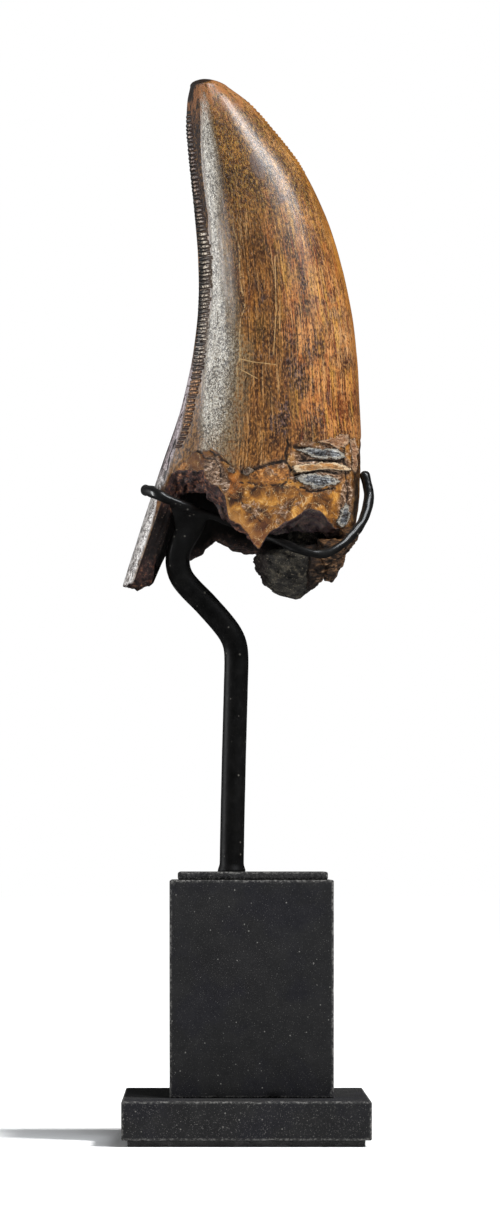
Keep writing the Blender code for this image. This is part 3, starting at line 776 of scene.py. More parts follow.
# ------ stand
ROD_RADIUS = 2.5
ROD_PATH = [
    (-2.8, 0, 27), (-2.8, 0, 40), (-2.8, 0, 55.5), (-2.4, 0, 76), (-1.95, 0, 93), (-1.85, 0, 99.4),
    (-2.35, -0.2, 102.2), (-3.9, -0.6, 104.9), (-8.2, -1.7, 109.8), (-11.4, -2.5, 113),
    (-13.1, -2.9, 115.2), (-13.85, -3.2, 117.6), (-13.75, -3.5, 120), (-12.9, -3.9, 122.3),
    (-11.7, -4.2, 124.7), (-10.7, -4.7, 127.6), (-10.3, -4.9, 128.8),
]
WIRE_PATH = [
    (-18.3, 5.1, 133.5), (-19.6, 2.7, 133.4), (-20.5, 0, 133.2), (-20.5, -2.9, 132.9),
    (-19.5, -5.6, 132.4), (-17.6, -7.7, 131.5), (-15, -7.6, 130.3), (-11.3, -6.4, 129),
    (-7.8, -4.9, 127.9), (-4.5, -4.6, 126.8), (0, -5.2, 124.8), (4, -6.5, 123.2),
    (7.8, -9.2, 121.6), (11.3, -11.4, 119.9), (15.5, -11.8, 119.2), (18.4, -11.2, 120.4),
    (21, -9.7, 122.6), (23.7, -7.2, 126.1), (25.2, -4.6, 131.2), (24.7, -3.6, 134.8),
    (24.1, -3.4, 136.9),
]
WIRE_RADIUS = 0.85
# Braze at the rod's head and flare at its foot: name, spacing, sides, then width and depth
# as what they start with and lose on the way, and the path
BRAZE = [
    ("web", 0.4, 20, (2.3, 1.2), (1, 0.1), [
        (-12.3, -4.4, 124.2), (-12.8, -4.8, 126.2), (-13.4, -5.6, 128), (-14.6, -6.8, 129.9),
    ]),
    ("corner", 0.3, 20, (1.9, 1), (0.95, 0), [
        (-10.6, -4.7, 126.4), (-9.6, -4.8, 127.3), (-8.6, -4.8, 127.9),
    ]),
    ("flare", 0.15, 40, (3, 0.45), (3, 0.45), [
        (-2.8, 0, 54.9), (-2.8, 0, 55.4), (-2.78, 0, 56.2),
    ]),
]
VOXEL = 0.24 * MM


def curve_through(points, spacing):
    """Smooth points through the given ones, about evenly spaced."""
    points = np.array(points)
    steps = np.concatenate([[0], np.cumsum(np.linalg.norm(np.diff(points, axis=0), axis=1))])
    table = np.column_stack([steps, points])
    places = np.linspace(0, steps[-1], max(4, int(steps[-1] / spacing)))
    return np.stack(columns_of(table, places), axis=-1), places / steps[-1]


def tube(name, path, widths, depths, sides, up=(0, 1, 0)):
    """Closed oval tube; widths lie across the path in the plane of up."""
    tangent = unit(np.gradient(path, axis=0))
    angle = np.linspace(0, 2 * math.pi, sides, endpoint=False)
    side = unit(np.cross(tangent, np.broadcast_to(up, tangent.shape)))
    other = np.cross(side, tangent)
    grid = (
        path[:, None, :]
        + side[:, None, :] * (widths[:, None] * np.cos(angle))[..., None]
        + other[:, None, :] * (depths[:, None] * np.sin(angle))[..., None]
    )
    return closed_grid(name, grid, [path[0], path[-1]])


def rounded_ends(count, length_each):
    """Shares that round off the first and last rings of a tube."""
    place = np.arange(count)
    near = np.minimum(place, place[::-1]) / length_each
    return np.sqrt(np.clip(1 - (1 - np.clip(near, 0, 1)) ** 2, 0.02, 1))


def make_armature(material):
    """Rod and hammered wire brazed together, with a web of braze at the head."""
    path, _ = curve_through(ROD_PATH, 0.8)
    head = soft_step(path[:, 2], 119.5, 128)
    widths, depths = ROD_RADIUS * (1 + 0.24 * head**2), ROD_RADIUS * (1 - 0.5 * head)
    pieces = [tube("rod_tube", path, widths, depths, 40)]
    path, share = curve_through(WIRE_PATH, 0.4)
    trim = rounded_ends(len(path), 2.4)
    hammer = 0.07 * np.sin(share * 61) + 0.05 * np.sin(share * 143 + 1)
    arm = soft_step(share, 0.5, 0.62)
    rising = soft_step(share, 0.74, 0.9)
    prong = soft_step(0.36 - share, 0, 0.1)
    widths = WIRE_RADIUS * (0.94 - 0.16 * arm + 0.52 * rising + 0.12 * prong) + hammer * 0.5
    depths = WIRE_RADIUS * (1.02 + 0.1 * arm + 0.16 * rising + 0.3 * prong) - hammer
    pieces.append(tube("wire_tube", path, widths * trim, depths * trim, 24, (0, 0.25, 1)))
    for name, spacing, sides, width, depth, points in BRAZE:
        path, share = curve_through(points, spacing)
        widths, depths = width[0] - width[1] * share, depth[0] - depth[1] * share
        pieces.append(tube(name, path, widths, depths, sides))
    bpy.ops.object.select_all(action="DESELECT")
    for piece in pieces:
        piece.select_set(True)
    rod = pieces[0]
    bpy.context.view_layer.objects.active = rod
    bpy.ops.object.join()
    rod.name = rod.data.name = "rod_and_wire"
    weld = rod.modifiers.new("braze", "REMESH")
    weld.mode = "VOXEL"
    weld.voxel_size = VOXEL
    soften = rod.modifiers.new("filed smooth", "SMOOTH")
    soften.factor = 0.6
    soften.iterations = 9
    bpy.context.view_layer.update()
    graph = bpy.context.evaluated_depsgraph_get()
    mesh = bpy.data.meshes.new_from_object(rod.evaluated_get(graph))
    rod.modifiers.clear()
    rod.data = mesh
    mesh.shade_smooth()
    return dressed(rod, material, "black_steel", "rod", "cradle_wire")


LONGEST_EDGE = 1.4
EDGE_REACH = 0.7
CHIP_REACH = 0.8
SHARP_ANGLE = math.radians(40)


def slab(name, low, high, radius, chip, seed, material, slot, node):
    """Stone slab with rounded, slightly nibbled edges; corners in metres."""
    low, high = np.array(low) / MM, np.array(high) / MM
    cage = bmesh.new()
    bmesh.ops.create_cube(cage, size=1)
    for vert in cage.verts:
        vert.co = Vector((low + high) / 2) + Vector(np.array(vert.co) * (high - low))
    bmesh.ops.bevel(
        cage, geom=cage.edges[:], offset=radius, segments=4, profile=0.5, affect="EDGES"
    )
    for _ in range(6):
        long_edges = [e for e in cage.edges if e.calc_length() > LONGEST_EDGE]
        if not long_edges:
            break
        bmesh.ops.subdivide_edges(cage, edges=long_edges, cuts=1, use_grid_fill=True)
    bmesh.ops.triangulate(cage, faces=cage.faces[:])
    points = np.array([v.co for v in cage.verts])
    inset = np.minimum(points - low, high - points)
    edge_nearness = bell(np.sort(inset, axis=1)[:, 1], EDGE_REACH)
    nibble = np.clip(rough(points, 2.3, seed) - 0.35, 0, 1) * chip * edge_nearness
    toward = np.sign((low + high) / 2 - points) * (inset < CHIP_REACH)
    points = points + toward * nibble[:, None]
    for vert, point in zip(cage.verts, points):
        vert.co = Vector(point * MM)
    mesh = bpy.data.meshes.new(name)
    bmesh.ops.recalc_face_normals(cage, faces=cage.faces[:])
    cage.to_mesh(mesh)
    cage.free()
    mesh.shade_smooth()
    mesh.set_sharp_from_angle(angle=SHARP_ANGLE)
    piece = new_object(name, mesh)
    paint(piece, "arris", edge_nearness)
    return dressed(piece, material, slot, node)


def make_base(stone, felt):
    pad_low, pad_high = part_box("foot_pad")
    plinth_low, plinth_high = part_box("plinth")
    block_low, block_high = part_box("block")
    cap_low, cap_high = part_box("cap_plate")
    slab("felt_pad", pad_low, (pad_high[0], pad_high[1], plinth_low[2] + 0.05 * MM),
         0.3, 0.5, 201, felt, "black_felt", "foot_pad")
    slab("plinth_slab", plinth_low, plinth_high, 0.35, 0.3, 211, stone, "black_stone", "plinth")
    slab("block_body", (block_low[0], block_low[1], plinth_high[2] - 0.02 * MM), block_high,
         0.35, 0.22, 221, stone, "black_stone", "block")
    slab("cap_slab", (cap_low[0], cap_low[1], block_high[2] - 0.02 * MM), cap_high,
         0.45, 0.25, 231, stone, "black_stone", "cap_plate")


# ------ materials
def srgb(*swatch):
    """Linear colour, with alpha, from the 0-255 numbers of a swatch."""
    shares = [channel / 255 for channel in swatch]
    return (*[c / 12.92 if c <= 0.04045 else ((c + 0.055) / 1.055) ** 2.4 for c in shares], 1)


def feed(socket, given):
    """Links a socket to a Value, or sets it; three numbers for a colour are a swatch."""
    if isinstance(given, Value):
        socket.id_data.links.new(given.socket, socket)
    elif socket.type == "RGBA" and len(given) == 3:
        socket.default_value = srgb(*given)
    else:
        socket.default_value = given


def add_node(tree, kind, inputs=(), output=0, **settings):
    """Adds a node with (input, value) pairs and settings; gives one output as a Value."""
    node = tree.nodes.new(kind)
    for key, setting in settings.items():
        setattr(node, key, setting)
    for key, given in inputs:
        feed(node.inputs[key], given)
    return Value(node.outputs[output])


def maths(operation, tree, *given):
    return add_node(tree, "ShaderNodeMath", enumerate(given), operation=operation)


def blend(share, start, end, kind="RGBA"):
    """Goes from start to end, two colours or two numbers, as share goes from 0 to 1."""
    first, second, output = {"RGBA": (6, 7, 2), "FLOAT": (2, 3, 0)}[kind]
    return add_node(share.tree, "ShaderNodeMix", [(0, share), (first, start), (second, end)],
                    output, data_type=kind, clamp_factor=True)


def operator(operation):
    return lambda value, *others: maths(operation, value.tree, value, *others)


class Value:
    """Output of a node. Operators and methods on it add further nodes to its tree."""

    def __init__(self, socket):
        self.socket = socket
        self.tree = socket.id_data

    __add__ = operator("ADD")
    __sub__ = operator("SUBTRACT")
    __mul__ = operator("MULTIPLY")
    __abs__ = operator("ABSOLUTE")
    larger = operator("MAXIMUM")

    def __rsub__(self, other):
        return maths("SUBTRACT", self.tree, other, self)

    def step(self, low, high, out_low=0, out_high=1):
        given = enumerate((self, low, high, out_low, out_high))
        return add_node(self.tree, "ShaderNodeMapRange", given, interpolation_type="SMOOTHSTEP")

    def wander(self, width, out_high=1):
        """Thin wandering lines, where a noise crosses its middle value."""
        return abs(self - 0.5).step(width, width * 0.35, 0, out_high)

    def tones(self, low, high, start, end):
        """One colour up to low and another from high."""
        return blend(self.step(low, high), start, end)

    def ramp(self, *stops):
        """Colour from stops of position, red, green and blue."""
        colour = add_node(self.tree, "ShaderNodeValToRGB", [(0, self)])
        elements = colour.socket.node.color_ramp.elements
        while len(elements) < len(stops):
            elements.new(0.5)
        for element, (position, *swatch) in zip(elements, stops):
            element.position = position
            element.color = srgb(*swatch)
        return colour

    def layered(self, *layers):
        """This colour with (mask, colour) layers over it, the first one lowest."""
        colour = self
        for mask, over in layers:
            colour = blend(mask, colour, over)
        return colour

    def vector(self, operation, *given, output=0):
        return add_node(self.tree, "ShaderNodeVectorMath", enumerate((self, *given)), output,
                        operation=operation)

    def stretch(self, scale, offset=(0, 0, 0)):
        return self.vector("MULTIPLY_ADD", scale, offset)

    def split(self):
        node = add_node(self.tree, "ShaderNodeSeparateXYZ", [(0, self)]).socket.node
        return map(Value, node.outputs)

    def noise(self, scale, detail=3, roughness=0.55, distortion=0):
        given = zip(("Vector", "Scale", "Detail", "Roughness", "Distortion"),
                    (self, scale, detail, roughness, distortion))
        return add_node(self.tree, "ShaderNodeTexNoise", given)

    def cells(self, scale, feature="F1"):
        given = [("Vector", self), ("Scale", scale)]
        return add_node(self.tree, "ShaderNodeTexVoronoi", given, "Distance", feature=feature)

    def mark(self, name, output="Fac"):
        """Value painted on the piece under a name."""
        return add_node(self.tree, "ShaderNodeAttribute", (), output, attribute_name=name)

    def through(self, group, number):
        """Outputs of a node group for this place and a number."""
        node = self.tree.nodes.new("ShaderNodeGroup")
        node.node_tree = group
        feed(node.inputs[0], self)
        feed(node.inputs[1], number)
        return map(Value, node.outputs)

    def scratch(self, half_width, start, end):
        """Thin straight line on the front between two places given as x and height."""
        run = np.subtract(end, start)
        length = float(np.hypot(*run))
        ahead = (float(run[0]) / length, 0, float(run[1]) / length)
        aside = (-ahead[2], 0, ahead[0])
        along, off = [
            self.vector("DOT_PRODUCT", way, output="Value")
            - (start[0] * way[0] + start[1] * way[2])
            for way in (ahead, aside)
        ]
        line = abs(off).step(half_width * 1.4, half_width * 0.5)
        return line * along.step(0, 0.4) * along.step(length, length - 0.4)

    def bump(self, strength, distance):
        given = [("Strength", strength), ("Distance", distance), ("Height", self)]
        return add_node(self.tree, "ShaderNodeBump", given)


def new_material(name):
    """New material, and the place on the piece in millimetres as its first Value."""
    material = bpy.data.materials.new(name)
    material.use_nodes = True
    place = add_node(material.node_tree, "ShaderNodeTexCoord", output="Object")
    return material, place.stretch((1000, 1000, 1000))


def finish(material, **looks):
    """Feeds the inputs of the shader, named with _ for each space."""
    shader = material.node_tree.nodes["Principled BSDF"]
    for label, given in looks.items():
        feed(shader.inputs[label.replace("_", " ")], given)
    return material


def new_group(name, number, usual, *outputs):
    """Node group from a vector and a number to further numbers, and its two inputs."""
    group = bpy.data.node_groups.new(name, "ShaderNodeTree")
    new_socket = group.interface.new_socket
    new_socket("Vector", in_out="INPUT", socket_type="NodeSocketVector")
    new_socket(number, in_out="INPUT", socket_type="NodeSocketFloat").default_value = usual
    for label in outputs:
        new_socket(label, in_out="OUTPUT", socket_type="NodeSocketFloat")
    given = group.nodes.new("NodeGroupInput").outputs
    return group, Value(given[0]), Value(given[1])


def give(group, *values):
    """Ends a node group with the values of its outputs."""
    node = group.nodes.new("NodeGroupOutput")
    for socket, given in zip(node.inputs, values):
        feed(socket, given)
    return group


def mineral_grain_group():
    """Crystalline speckle: a mask of pale grains, one of dark pits, and a height."""
    group, vector, size = new_group("mineral grain", "Grain size", 1, "Pale", "Dark", "Height")
    share = maths("DIVIDE", group, 1, size)
    where = add_node(group, "ShaderNodeVectorMath", [(0, vector), (3, share)], operation="SCALE")
    grains = where.cells(2.6)
    fine = where.noise(3.4, 4, 0.65)
    pale = grains.step(0.3, 0.12) * where.noise(1.3, 2).step(0.5, 0.62)
    dark = (fine + where.noise(0.5, 2) * 0.4).step(0.66, 0.52)
    return give(group, pale, dark, fine + grains * 0.6)


def dust_group():
    """Where dust and pale fibres settle: on what faces up, in broken patches."""
    group, vector, amount = new_group("settled dust", "Amount", 0.3, "Mask")
    _, _, up = add_node(group, "ShaderNodeNewGeometry", output="Normal").split()
    specks = vector.noise(5.5, 2, 0.7).step(0.62, 0.76)
    haze = vector.noise(0.3, 3, 0.5).step(0.35, 0.75, 0.06, 0.16)
    return give(group, (specks + haze) * amount * up.step(0.3, 1, 0.35, 1))


def make_fossil_tooth(grain):
    material, place = new_material("fossil tooth")
    mark = place.mark
    growth = mark("growth", "Vector")
    enamel, around, height, crazed = map(mark, ("enamel", "around", "height", "crazed"))
    painted_sheen_band, strip, lee, russet = map(mark, ("painted_sheen_band", "strip", "lee", "russet"))

    def grown(length, scale, detail, roughness=0.55, distortion=0, shift=(0, 0)):
        """Noise drawn out along the growth of the tooth."""
        drawn = growth.stretch((1, length, 0), (*shift, 0))
        return drawn.noise(scale, detail, roughness, distortion)

    # enamel: brown with lengthwise streaks, paler and pinker down the right
    patch = grown(0.34, 0.46, 2.5, 0.55, 0.2)
    fine = grown(0.016, 6.4, 2, 0.6, shift=(31, 7))
    cloud = grown(0.6, 0.17, 4, 0.6, 0.4)
    mottle = grown(0.7, 0.8, 4, 0.65, 0.6)
    grit = growth.noise(1.8, 2, 0.62)
    sway = mottle - 0.5
    lengthwise = height.step(205, 182, 0.15, 0.92)
    grain_tone = (fine - 0.5) * lengthwise + (grit - 0.5) * (1 - lengthwise)
    busy = (around + sway * 0.16).step(0.43, 0.53)
    blotch = (patch - 0.5) * busy.step(0, 1, 0.42, 0.74)
    tone = blotch + grain_tone * 0.6 + (cloud * 0.16 + 0.42)
    brown = tone.ramp((0.37, 34, 16, 5), (0.44, 66, 37, 11), (0.5, 94, 57, 20),
                      (0.56, 122, 76, 26), (0.63, 164, 112, 48))
    pink = tone.ramp((0.37, 50, 26, 12), (0.44, 90, 52, 24), (0.5, 126, 80, 42),
                     (0.56, 158, 105, 56), (0.63, 204, 152, 98))
    gold = tone.ramp((0.39, 88, 42, 6), (0.5, 142, 82, 16), (0.61, 190, 126, 30))
    orange = tone.ramp((0.39, 110, 54, 20), (0.5, 168, 96, 40), (0.61, 208, 142, 82))
    right = (around + sway * 0.25).step(0.52, 0.74)
    edge = (around + sway * 0.2).step(0.78, 0.92)
    # painted sheen: a pale pink patch low on the right of the crown
    painted_sheen_low = height.step(178, 168) * height.step(154, 162) * right
    hue = grown(0.16, 0.5, 3, shift=(17, 3))
    hued = height.step(205, 185)
    blob = grown(0.4, 0.6, 3, shift=(7, 9)) + (fine - 0.5) * 0.16
    streak = grown(0.045, 1.7, 3, 0.6, shift=(31, 7))
    spotted = busy * height.step(200, 186)
    ochre = (mark("ochre") + (fine - 0.5) * 2.6).step(0.42, 0.8)
    stain = (mark("stain") + (fine - 0.5) * -2.4 + sway * 1.6).step(0.4, 0.7)
    stained = grown(0.4, 2.3, 2, 0.6, shift=(2, 61))
    colour = brown.layered(
        (right * 0.85, pink),
        (painted_sheen_low * mottle.step(0.4, 0.6, 0.1, 0.5), (206, 164, 122)),
        (edge * 0.85, gold),
        (hue.step(0.54, 0.7, 0, 0.3) * hued, (140, 76, 32)),
        (hue.step(0.46, 0.34, 0, 0.42) * hued, (104, 76, 30)),
        (height.step(163, 153, 0, 0.74) * right,
         patch.tones(0.42, 0.6, (56, 28, 12), (134, 78, 32))),
        (spotted * blob.step(0.53, 0.61, 0, 0.6), (166, 100, 46)),
        (spotted * blob.step(0.46, 0.38, 0, 0.74),
         mottle.tones(0.44, 0.58, (58, 24, 10), (110, 70, 52))),
        (spotted * streak.step(0.54, 0.62, 0, 0.55), (196, 142, 48)),
        (spotted * streak.step(0.45, 0.38, 0, 0.6), (118, 48, 18)),
        (ochre * 0.72, blend(edge, orange, gold)),
        (stain * 0.86, stained.tones(0.47, 0.58, (26, 14, 10), (102, 80, 74))),
    )

    # hairlines, dashes and flecks along the growth of the tooth, dark and pale
    lined = height.step(206, 188)
    hair = grown(0.05, 1.1, 1, 0.5, shift=(5, 11)).wander(0.026, 0.6)
    dash = grown(0.03, 3.9, 1, 0.5, shift=(61, 23)).step(0.55, 0.62, 0, 0.7)
    hair = hair.larger(dash) * mottle.step(0.42, 0.56, 0.25, 1) * lined
    pale_dash = grown(0.024, 4.1, 1, 0.5, shift=(43, 2)).step(0.57, 0.66, 0, 0.44)
    fleck = grown(0.26, 4.6, 2, 0.7, shift=(27, 41))
    colour = colour.layered(
        (hair, (48, 21, 6)),
        (pale_dash * cloud.step(0.4, 0.52) * lined, (204, 160, 106)),
        (fleck.step(0.47, 0.38, 0, 0.78), (46, 19, 4)),
        (fleck.step(0.53, 0.63, 0, 0.46), (196, 138, 74)),
    )

    # crazing: short dark lines over the facet and the upper crown
    craze = grown(0.62, 1.15, 1, 0.5, 1.6).wander(0.036)
    craze = craze.larger(grown(0.62, 1.5, 1, 0.5, 1.2, (9, 4)).wander(0.045))
    craze = craze * growth.noise(0.9, 2).step(0.36, 0.54, 0.35, 1)
    crackle = grown(0.34, 2.9, 2, 0.6, shift=(13, 1))
    between = crazed * crackle.step(0.48, 0.6, 0, 0.6) * height.step(172, 190, 0.35, 0.8)
    parted = crazed * height.step(172, 190, 0.4, 1) * crackle.step(0.45, 0.38, 0, 0.66)
    colour = colour.layered(
        (between, (176, 138, 64)),
        (parted, (48, 30, 8)),
        (edge * fine.step(0.36, 0.56, 0.25, 0.62), (176, 112, 34)),
        (craze * crazed * 0.84, (44, 26, 12)),
        (lee * grit.step(0.38, 0.62, 1, 0.55),
         crackle.tones(0.42, 0.6, (12, 4, 1), (54, 22, 6))),
        (russet * 0.8, crackle.tones(0.4, 0.6, (58, 36, 14), (140, 98, 48))),
    )

    # silvery core of the facet, pale crazed enamel under a painted sheen brightest along its
    # middle, and the pale strip down the splinter, pale in its own colour and lighter still as
    # painted sheen
    patches = grown(0.4, 0.62, 5, 0.68)
    speck = grown(0.4, 3.7, 2, 0.6, shift=(3, 5))
    upper = height.step(180, 198)
    drawn_speck = fine * upper.step(0, 1, 0.1, 0.45) + 0.01
    speck = speck * upper.step(0, 1, 0.9, 0.55) + drawn_speck
    # painted sheen, brightest along the middle of the core
    sheen = mark("painted_sheen_peak") * 0.62 + (speck - 0.5) * 1.2
    wrinkle = grown(0.36, 2.5, 2, 0.6, 0.7, (15, 2)).wander(0.06)
    flaked = place.stretch((1, 1, 0.24)).noise(2.1, 3, 0.6).step(0.38, 0.48)
    # pale strip on the splinter: its own pale colour, painted lighter as sheen from the left
    pale_strip = height.tones(133, 139, (242, 237, 233), (204, 190, 194))
    painted_silver_sheen = sheen.ramp((0, 84, 66, 44), (0.2, 122, 106, 82), (0.45, 164, 152, 132),
                        (0.72, 228, 224, 212))
    painted_silver_sheen = painted_silver_sheen.layered(
        (wrinkle * grit.step(0.34, 0.52, 0.25, 0.85), (48, 34, 20)),
        (strip * 0.95, blend(flaked, (74, 58, 52), pale_strip)),
    )
    scatter = (speck - 0.5) * 1.5 + (patches - 0.5) * 1.1
    covered = (painted_sheen_band + scatter * 0.6).step(0.16, 0.84) * painted_sheen_band.step(0.03, 0.3)
    covered = covered * height.step(139, 148, 0.3, 0.9)
    colour = colour.layered(
        (mark("fade") * speck.step(0.44, 0.56, 0.08, 0.66), (158, 140, 106)),
        (covered.larger(strip), painted_silver_sheen),
        (mark("rim") * 0.85, (34, 28, 26)),
        (craze * (painted_sheen_band.larger(strip) * 0.92), (42, 28, 18)),
    )

    # tan skin near the tip, its bluish stains and black worn end, scratches and pits
    tip = height.step(206, 215.5, 0, 0.7) * mottle.step(0.4, 0.56)
    smudge = (mark("smudge") + sway * 1.2).step(0.32, 0.75)
    worn_and_edge_highlight = (mark("worn_tip") + sway * 0.7).step(0.38, 0.66)
    scratch = abs(mark("rib_gap")).step(0.013, 0.005) * height.step(150, 158)
    scratch = scratch * height.step(192, 184) * grit.step(0.4, 0.55)
    for line in SCRATCHES:
        scratch = scratch.larger(place.scratch(*line))
    scratch = scratch * mark("front") * mottle.step(0.36, 0.5, 0.5, 1)
    pit = growth.cells(1).step(0.17, 0.08) * growth.noise(0.35, 2).step(0.5, 0.58)
    colour = colour.layered(
        (tip, (172, 112, 66)),
        (smudge * 0.7, (78, 66, 66)),
        (worn_and_edge_highlight * 0.94, (24, 18, 14)),
        (scratch * 0.64, (200, 164, 110)),
        (pit * 0.6, (52, 32, 20)),
    )

    # root below the enamel: amber, granular orange, layered grey and dark seams
    root_noise = place.noise(0.38, 5, 0.62, 0.6)
    root_fine = place.noise(1.5, 4, 0.68)
    side, behind, _ = place.split()
    pale_grain, dark_grain, _ = place.through(grain, 1)
    point = height.step(129, 121, 0, 0.9) * side.step(7, 3.5)
    ember = mark("ember").step(0.2, 0.9) * root_noise.step(0.3, 0.6)
    veins = place.noise(0.42, 2, 0.5, 1.4).wander(0.012)
    rubble = place.noise(1.3, 4, 0.7, 0.5).ramp(
        (0.36, 62, 34, 14), (0.48, 128, 78, 30), (0.58, 174, 114, 50), (0.7, 220, 180, 128)
    )
    leaf = place.stretch((0.8, 0.8, 1.3)).noise(1.25, 4, 0.7, 0.8)
    leaves = leaf.ramp(
        (0.38, 36, 24, 16), (0.47, 90, 64, 44), (0.56, 140, 110, 84), (0.66, 204, 184, 166)
    )
    back_flake = place.noise(0.22, 4, 0.6, 0.8).step(0.58, 0.63)
    amber = root_noise.ramp((0.34, 40, 20, 6), (0.43, 82, 46, 10), (0.52, 126, 78, 20),
                            (0.61, 168, 112, 36), (0.73, 204, 156, 80))
    root = amber.layered(
        (root_fine.step(0.5, 0.64, 0, 0.42), (84, 48, 18)),
        (side.step(-5, -9, 0, 0.62), (84, 48, 20)),
        # painted highlight: lighter gold along the rounded lower edge of the wall
        (mark("lip") * 0.5, (198, 142, 70)),
        (point * root_fine.step(0.38, 0.6, 1, 0.55), (92, 44, 24)),
        (ember * 0.62, (168, 92, 26)),
        (veins * 0.34, (232, 204, 152)),
        (pale_grain * 0.08, (226, 196, 146)),
        (mark("granular").step(0.25, 0.6, 0, 0.85), rubble),
        (mark("layered").step(0.25, 0.6), leaves),
        (back_flake * 0.75, leaves),
    )
    colour = root.layered(
        (enamel, colour),
        (mark("shaded") * root_fine.step(0.42, 0.6, 1, 0.75), (40, 24, 12)),
        (mark("crack").step(0.25, 0.75) * 0.9, (30, 19, 14)),
    )

    # broken wall and hollow: purple-brown, granular, with pale crystals, with painted shade in the
    # notch and at the back, and the hollow's inside painted near black as shade
    # painted shade: broken faces deep in the notch on the left, and those at the back, darkened as
    # the cavity's shade
    painted_recess_shade = height.step(117.6, 120, 0, 0.88) * height.step(130.5, 127)
    painted_recess_shade = (side.step(-11, -15) * painted_recess_shade).larger(behind.step(0, 5, 0, 0.66))
    slate = place.noise(0.55, 4, 0.62, 0.6).ramp(
        (0.36, 28, 19, 24), (0.47, 58, 43, 50), (0.56, 64, 58, 53), (0.68, 108, 78, 74)
    )
    snapped = place.noise(1.15, 5, 0.72, 0.3).ramp(
        (0.36, 18, 10, 10), (0.45, 50, 30, 29), (0.54, 80, 50, 45), (0.62, 132, 78, 46),
        (0.71, 206, 156, 112),
    )
    snapped = snapped.layered(
        (side.step(-15, -18, 0.1, 0.5), (24, 12, 8)),
        (painted_recess_shade, (20, 13, 11)),
        (mark("cool") * 0.85, slate),
        (pale_grain * 0.55, (164, 138, 116)),
        (dark_grain * 0.6, (20, 13, 12)),
    )
    # painted shade: the inside of the hollow is near black
    colour = colour.layered((mark("broken"), snapped), (mark("inside") * 0.9, (12, 8, 7)))

    # gloss and relief
    gloss = grit * 0.26 + 0.22 + lee.step(0, 0.6, 0, 0.28)
    glaze = enamel * painted_sheen_band.step(0.2, 0.8, 0.75, 0.25) * (1 - craze * 0.3)
    glaze = glaze * lee.step(0, 0.5, 1, 0) * russet.step(0, 0.6, 1, 0.2)
    skin = fine * 0.35 + grit * 0.25 + hair * -0.5 + grit * painted_sheen_band * 1.2
    skin = skin + craze * crazed * -0.6 + pit * -0.8 + stain * -0.25
    rough_skin = root_fine * 1.8 + root_noise * 1.4 + leaf * 0.8
    return finish(
        material, Base_Color=colour, Specular_IOR_Level=0.5,
        Roughness=blend(enamel, root_fine * 0.26 + 0.46, gloss, "FLOAT"),
        Coat_Weight=glaze, Coat_Roughness=0.29, Coat_IOR=1.9,
        Normal=blend(enamel, rough_skin, skin, "FLOAT").bump(0.5, 0.00016),
    )


def make_serration_finish():
    material, place = new_material("serration enamel")
    crest, depth, flank = map(place.mark, ("crest", "depth", "flank"))
    spread = place.noise(0.9, 4, 0.6)
    fine = place.noise(2.4, 2, 0.6)
    ragged = flank + (fine - 0.5) * 0.9
    middle = depth.step(0.27, 0.4) * depth.step(0.84, 0.7)
    foot = depth.step(0.7, 0.84)
    valley = blend(spread, (12, 8, 7), (40, 24, 15)).layered(
        (middle * ragged.step(0.1, 1), (74, 56, 40)),
        (foot, blend(spread, (26, 13, 8), (70, 38, 18))),
    )
    # crest colours: pale lilac-white, grey-tan and orange, a painted highlight on the denticle tops
    ridge = fine.tones(0.42, 0.6, (58, 42, 36), (184, 160, 144)).layered(
        (middle, fine.tones(0.41, 0.6, (66, 48, 34), (214, 200, 180))),
        (foot, fine.tones(0.42, 0.6, (72, 38, 18), (206, 150, 96))),
    )
    red = ragged.step(0.25, 0.65) * (1 - middle.larger(foot))
    outer = ragged.step(0.12, -0.22) * (1 - foot)
    colour = valley.layered(
        (crest.step(0.5, 0.95), ridge),
        (red * 0.88, (50, 25, 13)),
        (outer * 0.93, (16, 10, 8)),
    )
    return finish(material, Base_Color=colour, Specular_IOR_Level=0.4,
                  Roughness=crest.step(0.2, 0.9, 0.6, 0.34),
                  Normal=place.noise(5, 3).bump(0.3, 0.0001))


def make_back_serration_finish():
    material, place = new_material("back edge enamel")
    spread = place.noise(1.2, 3, 0.6)
    ridge = spread.tones(0.4, 0.6, (150, 96, 40), (196, 146, 78))
    return finish(material, Base_Color=place.mark("crest").tones(0.25, 0.75, (52, 30, 14), ridge),
                  Roughness=spread.step(0.3, 0.7, 0.28, 0.44),
                  Normal=place.noise(5, 3).bump(0.25, 0.00008))


def make_root_stone_finish(grain):
    material, place = new_material("root stone")
    pale, dark, height = place.through(grain, 0.9)
    side, _, _ = place.split()
    speck = place.cells(1.9).step(0.3, 0.16) * place.noise(1.1, 2).step(0.46, 0.56)
    body = place.noise(0.45, 5, 0.65, 0.5).ramp(
        (0.36, 20, 18, 17), (0.48, 42, 39, 34), (0.58, 62, 58, 49), (0.68, 96, 86, 70)
    )
    body = body.layered(
        # darker towards both sides: painted shade where the stone meets the flakes on the right,
        # and darker towards its left edge
        (side.step(11.5, 14.5) * 0.8, (34, 25, 26)),
        (side.step(5.2, 3.6) * 0.7, (40, 28, 26)),
        (speck * 0.55, (140, 130, 108)),
        (pale * 0.62, (152, 142, 122)),
        (dark * 0.5, (18, 16, 16)),
    )
    height = height + place.noise(1.1, 5, 0.7) * 1.5
    return finish(material, Base_Color=body, Roughness=0.82, Normal=height.bump(0.8, 0.00035))


